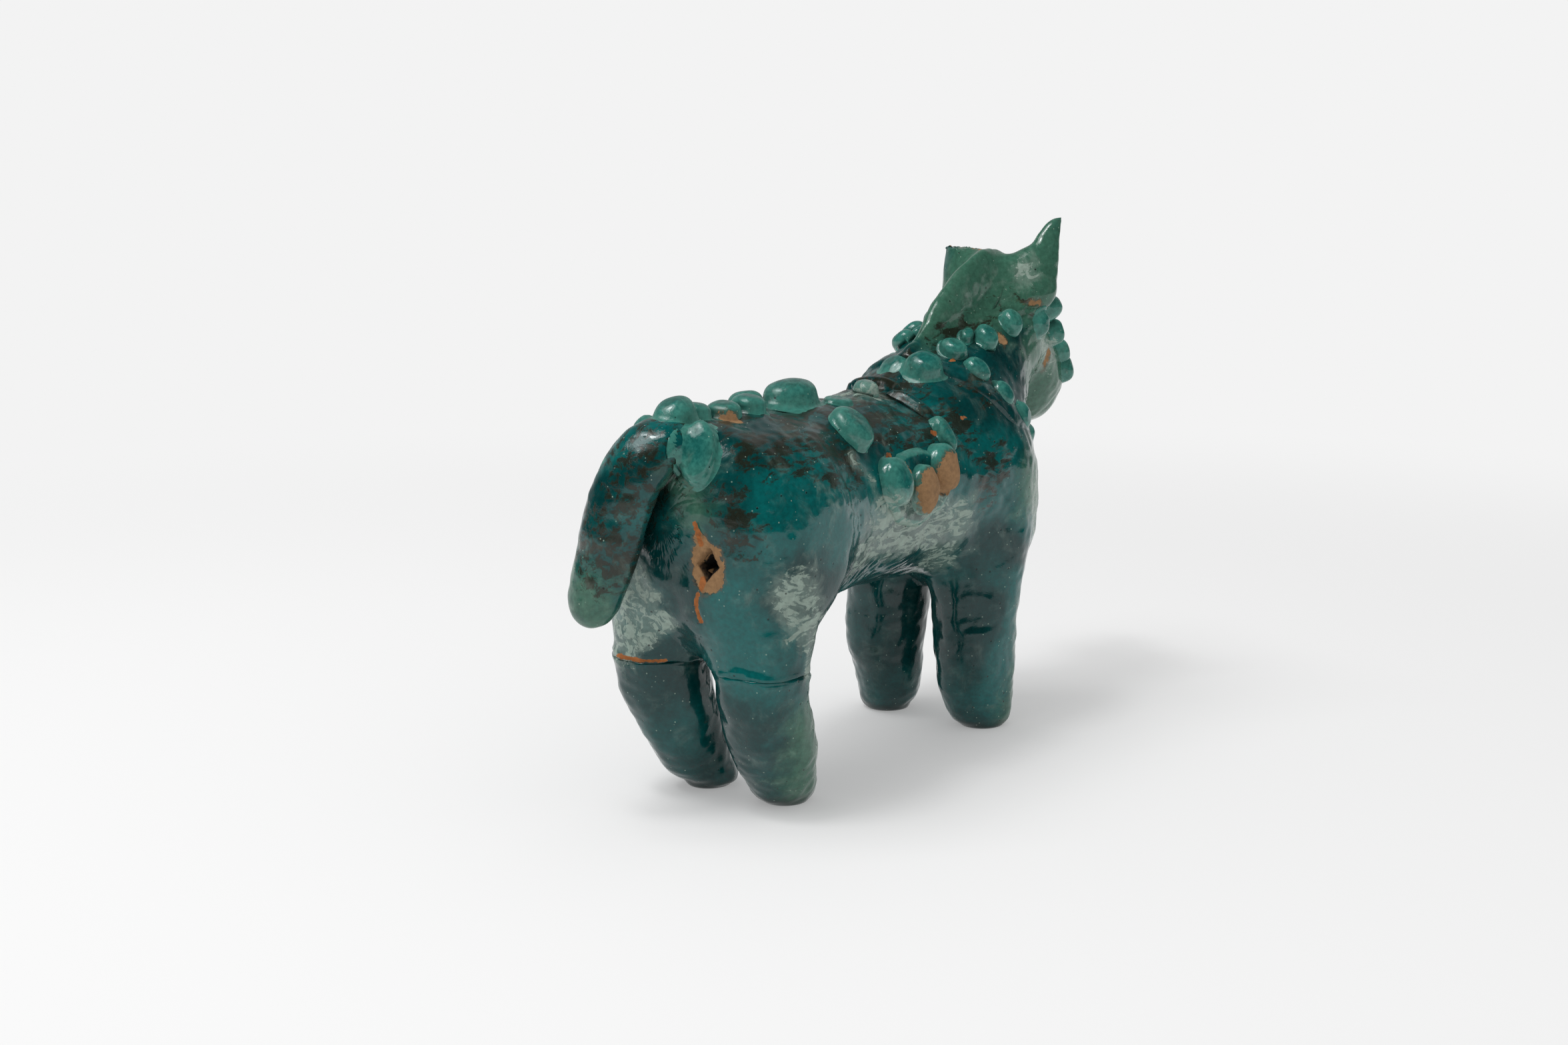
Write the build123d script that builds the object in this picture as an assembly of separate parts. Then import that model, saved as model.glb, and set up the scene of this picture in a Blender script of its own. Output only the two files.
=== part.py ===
from build123d import *
from collections import namedtuple
from math import cos, pi, sin
import os

# A hollow pouring vessel in the shape of a standing animal, built by hand from clay.
# The barrel, neck and head are hollow and open into one another, and the mouth pours.
# Legs, tail, ears, mane and all the trappings are rolls and pellets luted on before glazing.
# Lengths are millimetres. X runs from tail to head, Y to the animal's left, Z up from the ground.

# Stance and barrel
stance = 118.0                # hind feet to fore feet
rump_overhang = 45.0          # rump behind the hind feet
chest_overhang = 33.5         # chest in front of the fore feet
middle_offset = 14.6          # middle of the whole length in front of the middle of the feet
back_height = 130.0
belly_height = 60.0
barrel_width = 78.0
clay_wall = 5.0
vent_width = 6.5              # hole in the rump that let the air out in the kiln
vent_height = 11.0
overrun = 2.0                 # how far a cutting form runs past what it cuts

# Legs
hind_track = 32.0             # between the hind feet
fore_track = 41.0             # between the fore feet
seam_height = 49.0            # where the hind legs are luted to the thighs
hind_lean = 20.0              # how far the thigh seam stands behind the hind foot
hind_spread = 4.3             # how much wider the thighs stand than the feet
hind_leg_radius = 15.2
fore_lean = 4.5
fore_spread = 2.0             # how much closer the forelegs are at the chest
fore_leg_radius = 15.7

# Neck and head
neck_setback = 5.0            # foot of the neck behind the fore feet
neck_lift = 9.0               # foot of the neck above the barrel's axis
neck_reach = 46.0
neck_rise = 44.0
neck_radius = 28.0
head_turn = 14.0              # degrees that the head looks to its left
head_setback = 15.0           # crown end of the head behind its centre
head_length = 40.0
head_drop = 36.0              # muzzle end below the crown end
head_height = 150.0           # centre of the head above the ground
head_forward = 45.0           # centre of the head in front of the fore feet
crown_lift = 4.0
head_radius = 17.8
jaw_forward = 21.2
jaw_drop = 29.0
jaw_length = 40.0
jaw_width = 34.0
jaw_depth = 32.6
spout_length = 27.0           # lip of the mouth in front of the middle of the jaw
spout_radius = 9.5
lip_radius = 11.0
mouth_bore = 11.0
mouth_drop = 2.0              # mouth below the middle of the jaw

# Mane, ears and eyes
nape_setback = 21.0           # lowest end of the mane behind the fore feet
mane_height = 46.0
mane_sink = 2.0               # how far the mane's foot lies below the back
mane_bow = 4.0                # how far the mane bows to the right
mane_thickness = 10.0
ear_height = 35.5
ear_spread = 21.8             # outer edge of each ear from the middle of the head
ear_blade = 28.0
ear_thickness = 15.0
ear_splay = 56.0              # degrees between the blade of an ear and the line of the head
break_height = 23.5           # how far above the head's centre the left ear is broken off
eye_size = (10.0, 9.5, 11.5)

# Tail
tail_root_drop = 7.5          # middle of the tail's root below the back
tail_reach = 15.0             # how far the tail stands behind the rump
tail_swing = 18.0             # how far its tip hangs to the left
tail_drop = 57.0
tail_width = 23.0
tail_thickness = 16.0

# Trappings
root_pellet_size = (15.5, 13.0, 12.0)         # pellets and bosses: length, width and thickness
spine_pellet_size = (12.0, 10.5, 7.0)
back_boss_size = (22.0, 17.0, 13.0)
loin_pellet_size = (11.0, 9.0, 2.6)
lobe_size = (20.0, 10.5, 6.0)
saddle_boss_size = (17.0, 14.0, 9.0)
strap_pellet_size = (14.0, 6.5, 6.5)
pommel_rolls = (8.5, 6.0)      # widths of the roll over the spine and of the one beside it
pommel_pellet_size = (8.5, 8.0, 7.0)
flap_length = 38.0
flap_width = 26.0
flap_thickness = 1.8
collar_boss_sizes = {"left": (10.0, 9.0, 6.0), "right": (14.0, 13.0, 11.0)}
collar_pellet_size = (10.5, 8.5, 7.5)
collar_pellet_tilt = 0.4       # how far the pellets of the collar lean back, as a slope
bridle_pellet_size = (10.5, 8.0, 8.0)
bridle_link_size = (6.5, 5.0, 5.0)
band_width = 18.0
band_thickness = 1.4
pellet_sink_share = 0.25      # share of a pellet's half thickness that is pressed below the surface

ring_points = 12

# along the barrel; lift, half width, rise and fall in shares of the barrel's half sizes
barrel_shares = (
    (0.005, 0.11, 0.28, 0.49, 0.40),
    (0.020, 0.09, 0.59, 0.74, 0.71),
    (0.056, 0.03, 0.85, 0.94, 0.94),
    (0.122, -0.03, 1.00, 1.00, 1.06),
    (0.204, 0.00, 0.99, 1.00, 1.09),
    (0.300, 0.00, 0.90, 0.97, 1.01),
    (0.428, 0.03, 0.85, 0.93, 0.99),
    (0.555, 0.06, 0.86, 0.89, 1.03),
    (0.682, 0.06, 0.885, 0.90, 1.07),
    (0.809, 0.00, 0.92, 0.94, 1.09),
    (0.896, -0.14, 0.87, 0.86, 1.00),
    (0.957, -0.34, 0.69, 0.71, 0.83),
    (0.993, -0.49, 0.32, 0.36, 0.40),
)

# share of the way from the seam up to the barrel's axis; lean, spread and the two radii
thigh_shares = (
    (0.00, 1.04, 1.00, 1.00, 1.00),
    (0.33, 0.95, 0.81, 1.12, 1.18),
    (0.67, 0.55, 0.47, 1.51, 1.35),
    (1.00, 0.35, 0.00, 1.58, 1.32),
)

# share of the seam's height; lean, spread, radius along X and radius across
hind_leg_shares = (
    (0.00, 0.04, 0.00, 0.59, 0.56),
    (0.06, 0.11, 0.07, 0.69, 0.64),
    (0.20, 0.32, 0.30, 0.82, 0.77),
    (0.51, 0.67, 0.77, 0.985, 0.935),
    (0.82, 0.95, 1.00, 1.00, 0.98),
    (1.00, 1.04, 1.00, 1.00, 1.00),
)

# share of the belly's height; lean, spread, radius along X and radius across
foreleg_shares = (
    (0.00, 0.22, 0.00, 0.60, 0.57),
    (0.05, 0.33, 0.10, 0.70, 0.67),
    (0.17, 0.56, 0.25, 0.83, 0.78),
    (0.42, 0.93, 0.60, 0.955, 0.93),
    (0.67, 1.00, 0.85, 1.00, 0.975),
    (0.95, 0.56, 1.00, 1.115, 1.05),
    (1.23, -0.22, 0.75, 1.34, 1.15),
)

# along the neck; half width, rise and fall in shares of its radius
neck_shares = (
    (0.00, 1.11, 1.29, 1.07),
    (0.25, 1.00, 1.14, 1.07),
    (0.50, 0.86, 0.93, 0.96),
    (0.75, 0.71, 0.71, 0.79),
    (1.00, 0.57, 0.50, 0.61),
)
neck_bore_end_share = 0.88

# along the head from crown to muzzle; half width, rise and fall in shares of its radius
head_shares = (
    (0.00, 0.62, 0.62, 0.62),
    (0.12, 0.84, 0.79, 0.79),
    (0.35, 0.98, 0.955, 0.90),
    (0.60, 1.00, 1.01, 0.90),
    (0.80, 0.93, 0.955, 0.87),
    (0.95, 0.73, 0.76, 0.73),
    (1.02, 0.51, 0.51, 0.51),
)
head_cap_shares = (-0.10, 1.07)

# crest of the mane and its hidden foot: along to the head, height, bow and thickness
mane_shares = (
    (0.00, 0.26, 0.12, 0.00, 0.00, 0.45),
    (0.13, 0.44, 0.27, 0.09, 0.12, 0.90),
    (0.25, 0.63, 0.39, 0.17, 0.25, 1.00),
    (0.36, 0.76, 0.52, 0.26, 0.50, 1.00),
    (0.48, 0.90, 0.64, 0.35, 0.75, 1.00),
    (0.62, 0.99, 0.76, 0.43, 1.00, 1.00),
    (0.77, 1.00, 0.85, 0.48, 0.75, 0.95),
    (0.91, 0.965, 0.94, 0.48, 0.25, 0.80),
    (1.00, 0.86, 0.98, 0.48, 0.00, 0.50),
)

# height of the ear; reach of its outer edge, blade, place along the head and thickness
ear_shares = (
    (0.00, 0.70, 0.64, -0.17, 0.75),
    (0.09, 0.90, 0.88, -0.15, 0.95),
    (0.19, 0.975, 0.95, -0.12, 0.96),
    (0.31, 0.985, 0.89, -0.10, 0.87),
    (0.535, 0.995, 0.76, -0.065, 0.69),
    (0.65, 1.00, 0.57, -0.04, 0.59),
    (0.73, 1.00, 0.40, -0.025, 0.51),
    (0.845, 0.995, 0.29, 0.00, 0.37),
    (0.95, 0.995, 0.17, 0.03, 0.24),
)
ear_tip_place = 0.02

# from the root of the tail: back, left and down; half width and half thickness
tail_shares = (
    (1.07, 0.00, 0.06, 0.52, 0.62),
    (0.53, 0.00, 0.00, 0.87, 1.00),
    (0.00, 0.08, -0.01, 0.96, 1.00),
    (-0.47, 0.33, 0.15, 1.00, 1.00),
    (-0.67, 0.58, 0.395, 1.00, 1.00),
    (-0.80, 0.80, 0.675, 0.91, 0.94),
    (-0.93, 0.94, 0.89, 0.75, 0.77),
    (-0.97, 0.97, 0.955, 0.56, 0.58),
    (-0.99, 0.985, 0.995, 0.32, 0.33),
)
tail_tip_share = 0.4

# places on the forms: along the form, then turn round it from the top towards the left
vent_side_share = 0.40
vent_drop_share = 0.26
vent_reach_share = 0.10
collar_place_share = 0.24
root_pellet_place = (0.048, 0.003)
lobe_place = (0.027, 0.072)
spine_pellet_places = ((0.097, 0.008), (0.150, 0.992), (0.208, 0.985), (0.268, 0.028))
back_boss_place = (0.357, 0.006)
loin_pellet_place = (0.442, 0.968)
saddle_boss_places = ((0.364, 0.113), (0.418, 0.210), (0.498, 0.232), (0.567, 0.203))
strap_pellet_place = (0.606, 0.149)
flap_place = (0.495, 0.228)
pommel_places = (
    ((0.598, 0.040), (0.612, 0.020), (0.628, -0.005), (0.636, -0.030)),
    ((0.604, -0.034), (0.606, -0.072), (0.612, -0.110)),
)
pommel_pellet_place = (0.551, 0.981)
collar_boss_places = {"left": (0.100, 0.020), "right": (0.095, 0.043)}
collar_pellet_places = {
    "left": ((0.438, 0.097), (0.422, 0.188), (0.400, 0.270), (0.360, 0.345)),
    "right": ((0.345, 0.064), (0.272, 0.126), (0.255, 0.190), (0.290, 0.261), (0.300, 0.335)),
}
bridle_link_place = (0.510, 0.068)
bridle_neck_places = ((0.552, 0.108), (0.785, 0.144))
bridle_head_places = ((0.165, 0.275), (0.505, 0.185), (0.765, 0.174))
bridle_jaw_place = (0.10, 0.95, 0.27)         # ahead, aside and up, in shares of the jaw's half sizes
eye_place = (0.290, 0.167)

# Sizes that follow from the ones above
fore_feet_x = stance / 2
hind_feet_x = -stance / 2
rump_x = hind_feet_x - rump_overhang
barrel_length = rump_overhang + stance + chest_overhang
barrel_axis_z = (back_height + belly_height) / 2
half_height = (back_height - belly_height) / 2
half_width = barrel_width / 2

forward = Vector(1, 0, 0)
left = Vector(0, 1, 0)
up = Vector(0, 0, 1)
head_way = forward.rotate(Axis.Z, head_turn)
head_left = left.rotate(Axis.Z, head_turn)
head_centre = Vector(fore_feet_x + head_forward, 0, head_height)

# One closed outline of a form: where it is, which way the form runs, and how far it reaches
Ring = namedtuple("Ring", "along centre way side half_width rise fall")


def ring_wire(ring, inset):
    across = ring.way.cross(ring.side).normalized()
    points = []
    for step in range(ring_points):
        turn = 2 * pi * step / ring_points
        reach = (ring.rise if cos(turn) > 0 else ring.fall) - inset
        sideways = ring.side * ((ring.half_width - inset) * sin(turn))
        points.append(ring.centre + sideways + across * (reach * cos(turn)))
    even_steps = [step / ring_points for step in range(ring_points + 1)]
    return Wire([Edge.make_spline(points, periodic=True, parameters=even_steps)])


def form_from(rings, start=None, end=None, inset=0.0):
    sections = [ring_wire(ring, inset) for ring in rings]
    if start is not None:
        sections.insert(0, Vertex(*start))
    if end is not None:
        sections.append(Vertex(*end))
    return Solid.make_loft(sections)


def blend(low, high, part):
    return low + (high - low) * part


def ring_between(rings, along):
    # The ring at any place along a form, worked out from the two rings beside it
    for low, high in zip(rings, rings[1:]):
        if along <= high.along:
            break
    part = (along - low.along) / (high.along - low.along)
    centre = blend(low.centre, high.centre, part)
    way = blend(low.way, high.way, part).normalized()
    side = blend(low.side, high.side, part).normalized()
    half = blend(low.half_width, high.half_width, part)
    rise = blend(low.rise, high.rise, part)
    fall = blend(low.fall, high.fall, part)
    return Ring(along, centre, way, side, half, rise, fall)


def seat_near(form, centre, spoke):
    # The point of the form's skin nearest the end of a spoke, and the skin's outward direction there
    skin = max(form.faces(), key=lambda face: face.area)
    point = skin.distance_to_with_closest_points(Vertex(*(centre + spoke)))[1]
    outward = skin.normal_at(point)
    if outward.dot(spoke) < 0:
        outward = outward * -1
    return point, outward


def seat_on(form, rings, place):
    along, turn = place
    ring = ring_between(rings, along)
    across = ring.way.cross(ring.side).normalized()
    angle = 2 * pi * turn
    reach = ring.rise if cos(angle) > 0 else ring.fall
    spoke = ring.side * (ring.half_width * sin(angle)) + across * (reach * cos(angle))
    return seat_near(form, ring.centre, spoke)


def ellipsoid(length, width, height):
    return scale(Sphere(1), by=(length / 2, width / 2, height / 2))


def pellet(seat, lie, length, width, height):
    # A lump of clay pressed onto the skin, its long way turned towards lie
    point, outward = seat
    lie = (lie - outward * lie.dot(outward)).normalized()
    centre = point + outward * (height / 2 * (1 - 2 * pellet_sink_share))
    return Plane(origin=centre, x_dir=lie, z_dir=outward) * ellipsoid(length, width, height)


def meets(solid, other):
    # Whether the boxes round two solids meet, so that far neighbours are passed over
    one = solid.bounding_box(optimal=False)
    two = other.bounding_box(optimal=False)
    lows = (*one.min, *two.min)
    highs = (*two.max, *one.max)
    return all(low <= high for low, high in zip(lows, highs))


def cut_by(solid, *others):
    # What is left of a piece where its neighbours already stand
    for other in others:
        if meets(solid, other):
            solid = solid - other
    return max(solid.solids(), key=lambda piece: piece.volume)


def pressed_row(seats, lie, size, *neighbours):
    # Pellets side by side: each gives way to what carries it and to the one before
    row = []
    for seat in seats:
        row.append(cut_by(pellet(seat, lie, *size), *neighbours, *row[-1:]))
    return row


# The barrel with its thighs
def barrel_ring(along, lift, width, rise, fall):
    centre = Vector(rump_x + barrel_length * along, 0, barrel_axis_z + half_height * lift)
    return Ring(along, centre, forward, left, half_width * width, half_height * rise, half_height * fall)


barrel_rings = [barrel_ring(*shares) for shares in barrel_shares]
rump_point = Vector(rump_x, 0, barrel_rings[0].centre.Z)
chest_point = Vector(rump_x + barrel_length, 0, barrel_rings[-1].centre.Z)
barrel_form = form_from(barrel_rings, rump_point, chest_point)

barrel_middle_x = rump_x + barrel_length / 2
squeeze = 1 - 2 * clay_wall / barrel_length


def squeezed(point):
    return Vector(barrel_middle_x + (point.X - barrel_middle_x) * squeeze, point.Y, point.Z)


hollow_rings = [ring._replace(centre=squeezed(ring.centre)) for ring in barrel_rings]
barrel_hollow = form_from(hollow_rings, squeezed(rump_point), squeezed(chest_point), clay_wall)


# Where each pair of feet stands, how far apart, and how far the legs lean and spread above them
hind_stance = (hind_feet_x, hind_track, hind_lean, hind_spread)
fore_stance = (fore_feet_x, fore_track, fore_lean, -fore_spread)


def leg_rings(shares, foot_x, track, lean, spread, base, height, radius, hand):
    rings = []
    for level, lean_share, spread_share, long_share, cross_share in shares:
        aside = hand * (track / 2 + spread * spread_share)
        centre = Vector(foot_x - lean * lean_share, aside, base + height * level)
        across = radius * cross_share
        rings.append(Ring(level, centre, up, forward, radius * long_share, across, across))
    return rings


def thigh_form(hand):
    height = barrel_axis_z - seam_height
    return form_from(leg_rings(thigh_shares, *hind_stance, seam_height, height, hind_leg_radius, hand))


def hind_leg(hand):
    return form_from(leg_rings(hind_leg_shares, *hind_stance, 0, seam_height, hind_leg_radius, hand))


def foreleg(hand):
    return form_from(leg_rings(foreleg_shares, *fore_stance, 0, belly_height, fore_leg_radius, hand))


body_form = barrel_form + thigh_form(1) + thigh_form(-1)

# The neck, from inside the barrel to inside the head
neck_foot = Vector(fore_feet_x - neck_setback, 0, barrel_axis_z + neck_lift)
neck_top = neck_foot + Vector(neck_reach, 0, neck_rise)
neck_way = (neck_top - neck_foot).normalized()


def neck_ring(along, width, rise, fall):
    centre = blend(neck_foot, neck_top, along)
    return Ring(along, centre, neck_way, left, neck_radius * width, neck_radius * rise, neck_radius * fall)


neck_rings = [neck_ring(*shares) for shares in neck_shares]
neck_form = form_from(neck_rings)
bore_rings = [*neck_rings[:-1], ring_between(neck_rings, neck_bore_end_share)]
narrow = bore_rings[0]
bore_rings[0] = narrow._replace(
    half_width=narrow.half_width - clay_wall, rise=narrow.rise - clay_wall, fall=narrow.fall - clay_wall
)
neck_bore = form_from(bore_rings, inset=clay_wall)

# The head, from the crown down to the muzzle, with the jaw under it
crown_end = head_centre - head_way * head_setback + up * crown_lift
muzzle_end = crown_end + head_way * head_length - up * head_drop
face_way = (muzzle_end - crown_end).normalized()


def head_ring(along, width, rise, fall):
    centre = blend(crown_end, muzzle_end, along)
    half, rise, fall = head_radius * width, head_radius * rise, head_radius * fall
    return Ring(along, centre, face_way, head_left, half, rise, fall)


head_rings = [head_ring(*shares) for shares in head_shares]
face_ends = [blend(crown_end, muzzle_end, along) for along in head_cap_shares]
face_form = form_from(head_rings, *face_ends)
face_hollow = form_from(head_rings[1:-1], crown_end, muzzle_end, clay_wall)
jaw_centre = head_centre + head_way * jaw_forward - up * jaw_drop
jaw_plane = Plane(origin=jaw_centre, x_dir=head_way, z_dir=up)
jaw_form = jaw_plane * ellipsoid(jaw_length, jaw_width, jaw_depth)
jaw_inside = [size - 2 * clay_wall for size in (jaw_length, jaw_width, jaw_depth)]
jaw_hollow = jaw_plane * ellipsoid(*jaw_inside)
head_form = face_form + jaw_form

# The mouth
mouth_plane = Plane(origin=jaw_centre - up * mouth_drop, z_dir=head_way)
mouth_hole = mouth_plane * extrude(Circle(mouth_bore / 2), spout_length + overrun)
spout_outline = Polyline(
    (mouth_bore / 2, jaw_length / 4),
    (spout_radius, jaw_length / 4),
    (spout_radius, spout_length - 2 * (lip_radius - spout_radius)),
)
lip_curve = Spline(
    spout_outline @ 1,
    (lip_radius, spout_length - (lip_radius - spout_radius)),
    ((lip_radius + spout_radius) / 2, spout_length),
)
rim = Polyline(lip_curve @ 1, (mouth_bore / 2, spout_length), (mouth_bore / 2, jaw_length / 4))
spout_edges = [*spout_outline.edges(), *lip_curve.edges(), *rim.edges()]
spout_form = mouth_plane * revolve(Plane.XZ * make_face(spout_edges), Axis.Z)

# Shells: hollow, and open where one runs into the next
vent_z = barrel_axis_z - half_height * vent_drop_share
vent_seat = Vector(rump_x - overrun, -half_width * vent_side_share, vent_z)
vent = Plane(origin=vent_seat, x_dir=up, z_dir=forward) * extrude(
    Ellipse(vent_height / 2, vent_width / 2), barrel_length * vent_reach_share
)
body_shell = cut_by(body_form, barrel_hollow, neck_bore, vent)
neck_tube = cut_by(neck_form, neck_bore, body_form, head_form)
head_shell = cut_by(head_form, face_hollow, jaw_hollow, neck_bore, mouth_hole)
mouth_spout = cut_by(spout_form, head_form)

# The collar goes round the foot of the neck
collar_skin = form_from(neck_rings, inset=-band_thickness)
collar_plane = Plane(origin=blend(neck_foot, neck_top, collar_place_share), z_dir=neck_way)
collar_slab = collar_plane * Box(4 * neck_radius, 4 * neck_radius, band_width)
collar_band = cut_by(collar_skin & collar_slab, neck_form, body_form)

# The mane: a thin upright fin from the nape to the crown
nape = Vector(fore_feet_x - nape_setback, 0, back_height - mane_sink)
mane_run = head_centre.X - nape.X


def mane_point(along, height, bow):
    return nape + Vector(mane_run * along, -mane_bow * bow, mane_height * height)


crests = [mane_point(top, height, bow) for top, height, foot, depth, bow, thick in mane_shares]
feet = [mane_point(foot, depth, bow) for top, height, foot, depth, bow, thick in mane_shares]
spine = [(crest + foot) / 2 for crest, foot in zip(crests, feet)]
mane_rings = []
for index, shares in enumerate(mane_shares):
    run = spine[min(index + 1, len(spine) - 1)] - spine[max(index - 1, 0)]
    rise = crests[index] - feet[index]
    side = rise.cross(run).normalized()
    way = side.cross(rise).normalized()
    half = rise.length / 2
    mane_rings.append(Ring(index, spine[index], way, side, mane_thickness / 2 * shares[-1], half, half))
mane_form = form_from(mane_rings, spine[0] * 1.5 - spine[1] * 0.5, spine[-1] * 1.5 - spine[-2] * 0.5)
mane_crest = cut_by(mane_form, neck_form, head_form, body_form, collar_band)


# The ears: upright blades that taper to a point, the left one broken off
def ear_form(hand):
    blade_way = head_way.rotate(Axis.Z, hand * ear_splay)
    side = blade_way.cross(up)
    rings = []
    for height, reach, blade, place, thick in ear_shares:
        edge = head_centre + head_way * (ear_blade * place) + head_left * (hand * ear_spread * reach)
        half = ear_blade / 2 * blade
        centre = edge - blade_way * half + up * (ear_height * height)
        rings.append(Ring(height, centre, up, side, ear_thickness / 2 * thick, half, half))
    tip = head_centre + head_way * (ear_blade * ear_tip_place) + up * ear_height
    tip = tip + head_left * (hand * ear_spread)
    return form_from(rings, None, tip)


ear_right = cut_by(ear_form(-1), head_form, mane_form, neck_form)
ear_room = 4 * ear_height
break_plane = Plane(origin=head_centre + up * break_height, z_dir=up)
broken_off = break_plane * Box(ear_room, ear_room, ear_height, align=(Align.CENTER, Align.CENTER, Align.MIN))
ear_left_stub = cut_by(ear_form(1), head_form, mane_form, neck_form, broken_off)


# Seats for the pellets; hand is 1 on the animal's left and -1 on its right
def head_seats(hand, *places):
    return [seat_on(face_form, head_rings, (along, hand * turn)) for along, turn in places]


def jaw_seat(hand, place):
    ahead, aside, lift = place
    spoke = head_way * (jaw_length / 2 * ahead) + up * (jaw_depth / 2 * lift)
    spoke = spoke + head_left * (hand * jaw_width / 2 * aside)
    return seat_near(jaw_form, jaw_centre, spoke)


def neck_seats(hand, *places):
    return [seat_on(neck_form, neck_rings, (along, hand * turn)) for along, turn in places]


def barrel_seats(hand, *places):
    return [seat_on(barrel_form, barrel_rings, (along, hand * turn)) for along, turn in places]


# The tail: a thick roll from the top of the rump, hanging clear and to the left
tail_root = Vector(rump_x, 0, back_height - tail_root_drop)
tail_spine = [
    tail_root + Vector(tail_reach * back, tail_swing * swing, -tail_drop * down)
    for back, swing, down, wide, thick in tail_shares
]
tail_rings = []
for index, shares in enumerate(tail_shares):
    run = tail_spine[min(index + 1, len(tail_spine) - 1)] - tail_spine[max(index - 1, 0)]
    way = run.normalized()
    side = (left - way * left.dot(way)).normalized()
    thick = tail_thickness / 2 * shares[-1]
    tail_rings.append(Ring(index, tail_spine[index], way, side, tail_width / 2 * shares[-2], thick, thick))
tail_tip = tail_spine[-1] + (tail_spine[-1] - tail_spine[-2]) * tail_tip_share
tail = cut_by(form_from(tail_rings, None, tail_tip), body_form)

# Trappings along the back
root_row = pressed_row(barrel_seats(1, root_pellet_place), forward, root_pellet_size, body_form, tail)
spine_seats = barrel_seats(1, *spine_pellet_places)
spine_pellets = pressed_row(spine_seats, left, spine_pellet_size, body_form, *root_row)
back_boss = pressed_row(barrel_seats(1, back_boss_place), forward, back_boss_size, body_form)
loin_pellet = pressed_row(barrel_seats(1, loin_pellet_place), forward, loin_pellet_size, body_form)

# The saddle has rolls over the withers, and a flap with bosses on each flank
saddle_pommel = []
for places, roll_width in zip(pommel_places, pommel_rolls):
    line = Spline([point for point, outward in barrel_seats(1, *places)])
    section = Plane(origin=line @ 0, z_dir=line % 0) * Circle(roll_width / 2)
    saddle_pommel.append(cut_by(sweep(section, path=line), body_form, *saddle_pommel))
pommel_pellet = pressed_row(
    barrel_seats(1, pommel_pellet_place), forward, pommel_pellet_size, body_form, *saddle_pommel
)
saddle_skin = form_from(barrel_rings, rump_point, chest_point, -flap_thickness)

pieces = {
    "body_shell": [body_shell],
    "neck_tube": [neck_tube],
    "head_shell": [head_shell],
    "mouth_spout": [mouth_spout],
    "mane_crest": [mane_crest],
    "ear_right": [ear_right],
    "ear_left_stub": [ear_left_stub],
    "tail": [tail],
    "tail_root_pellet": root_row,
    "spine_pellets": spine_pellets,
    "back_boss": back_boss,
    "loin_pellet": loin_pellet,
    "saddle_pommel": saddle_pommel,
    "pommel_pellet": pommel_pellet,
    "collar_band": [collar_band],
}

# Whatever stands on both sides
for word, hand, ear in (("left", 1, ear_left_stub), ("right", -1, ear_right)):
    outer = left * hand
    pieces[f"foreleg_{word}"] = [cut_by(foreleg(hand), body_form)]
    pieces[f"hind_leg_{word}"] = [hind_leg(hand)]
    eye_row = pressed_row(head_seats(hand, eye_place), head_way, eye_size, head_form, neck_form, ear)
    pieces[f"eye_{word}"] = eye_row
    pieces[f"crupper_{word}"] = pressed_row(
        barrel_seats(hand, lobe_place), up, lobe_size, body_form, tail, *root_row
    )

    flap_seat, flap_outward = barrel_seats(hand, flap_place)[0]
    flap_plane = Plane(origin=flap_seat, x_dir=forward, z_dir=flap_outward)
    flap_block = extrude(flap_plane * Ellipse(flap_length / 2, flap_width / 2), flap_width / 2, both=True)
    flap = cut_by(saddle_skin & flap_block, body_form)
    pieces[f"saddle_flap_{word}"] = [flap]
    bosses = pressed_row(
        barrel_seats(hand, *saddle_boss_places), outer - up, saddle_boss_size, body_form, flap
    )
    pieces[f"saddle_bosses_{word}"] = bosses
    strap_near = (body_form, *saddle_pommel, bosses[-1])
    pieces[f"saddle_strap_{word}"] = pressed_row(
        barrel_seats(hand, strap_pellet_place), outer - up, strap_pellet_size, *strap_near
    )

    collar_near = (neck_form, body_form, mane_form, collar_band)
    boss_seats = neck_seats(hand, collar_boss_places[word])
    boss_row = pressed_row(boss_seats, forward + outer, collar_boss_sizes[word], *collar_near)
    pieces[f"collar_boss_{word}"] = boss_row
    collar_seats = neck_seats(hand, *collar_pellet_places[word])
    collar_lie = up - forward * collar_pellet_tilt
    collar_row = pressed_row(collar_seats, collar_lie, collar_pellet_size, *collar_near, *boss_row)
    pieces[f"collar_pellets_{word}"] = collar_row

    bridle_seats = neck_seats(hand, *bridle_neck_places) + head_seats(hand, *bridle_head_places)
    bridle_seats.append(jaw_seat(hand, bridle_jaw_place))
    bridle_near = (neck_form, head_form, mane_form, ear, *eye_row, *collar_row)
    bridle_row = pressed_row(bridle_seats, up, bridle_pellet_size, *bridle_near)
    pieces[f"bridle_pellets_{word}"] = bridle_row
    link_near = (neck_form, mane_form, bridle_row[0], collar_row[0])
    pieces[f"bridle_link_{word}"] = pressed_row(
        neck_seats(hand, bridle_link_place), neck_way, bridle_link_size, *link_near
    )

# The origin is on the ground, under the middle of the whole length
os.makedirs("parts", exist_ok=True)
for name, solids in pieces.items():
    placed = [Pos(-middle_offset, 0, 0) * solid for solid in solids]
    export_step(placed[0] if len(placed) == 1 else Compound(children=placed), f"parts/{name}.step")
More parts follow.
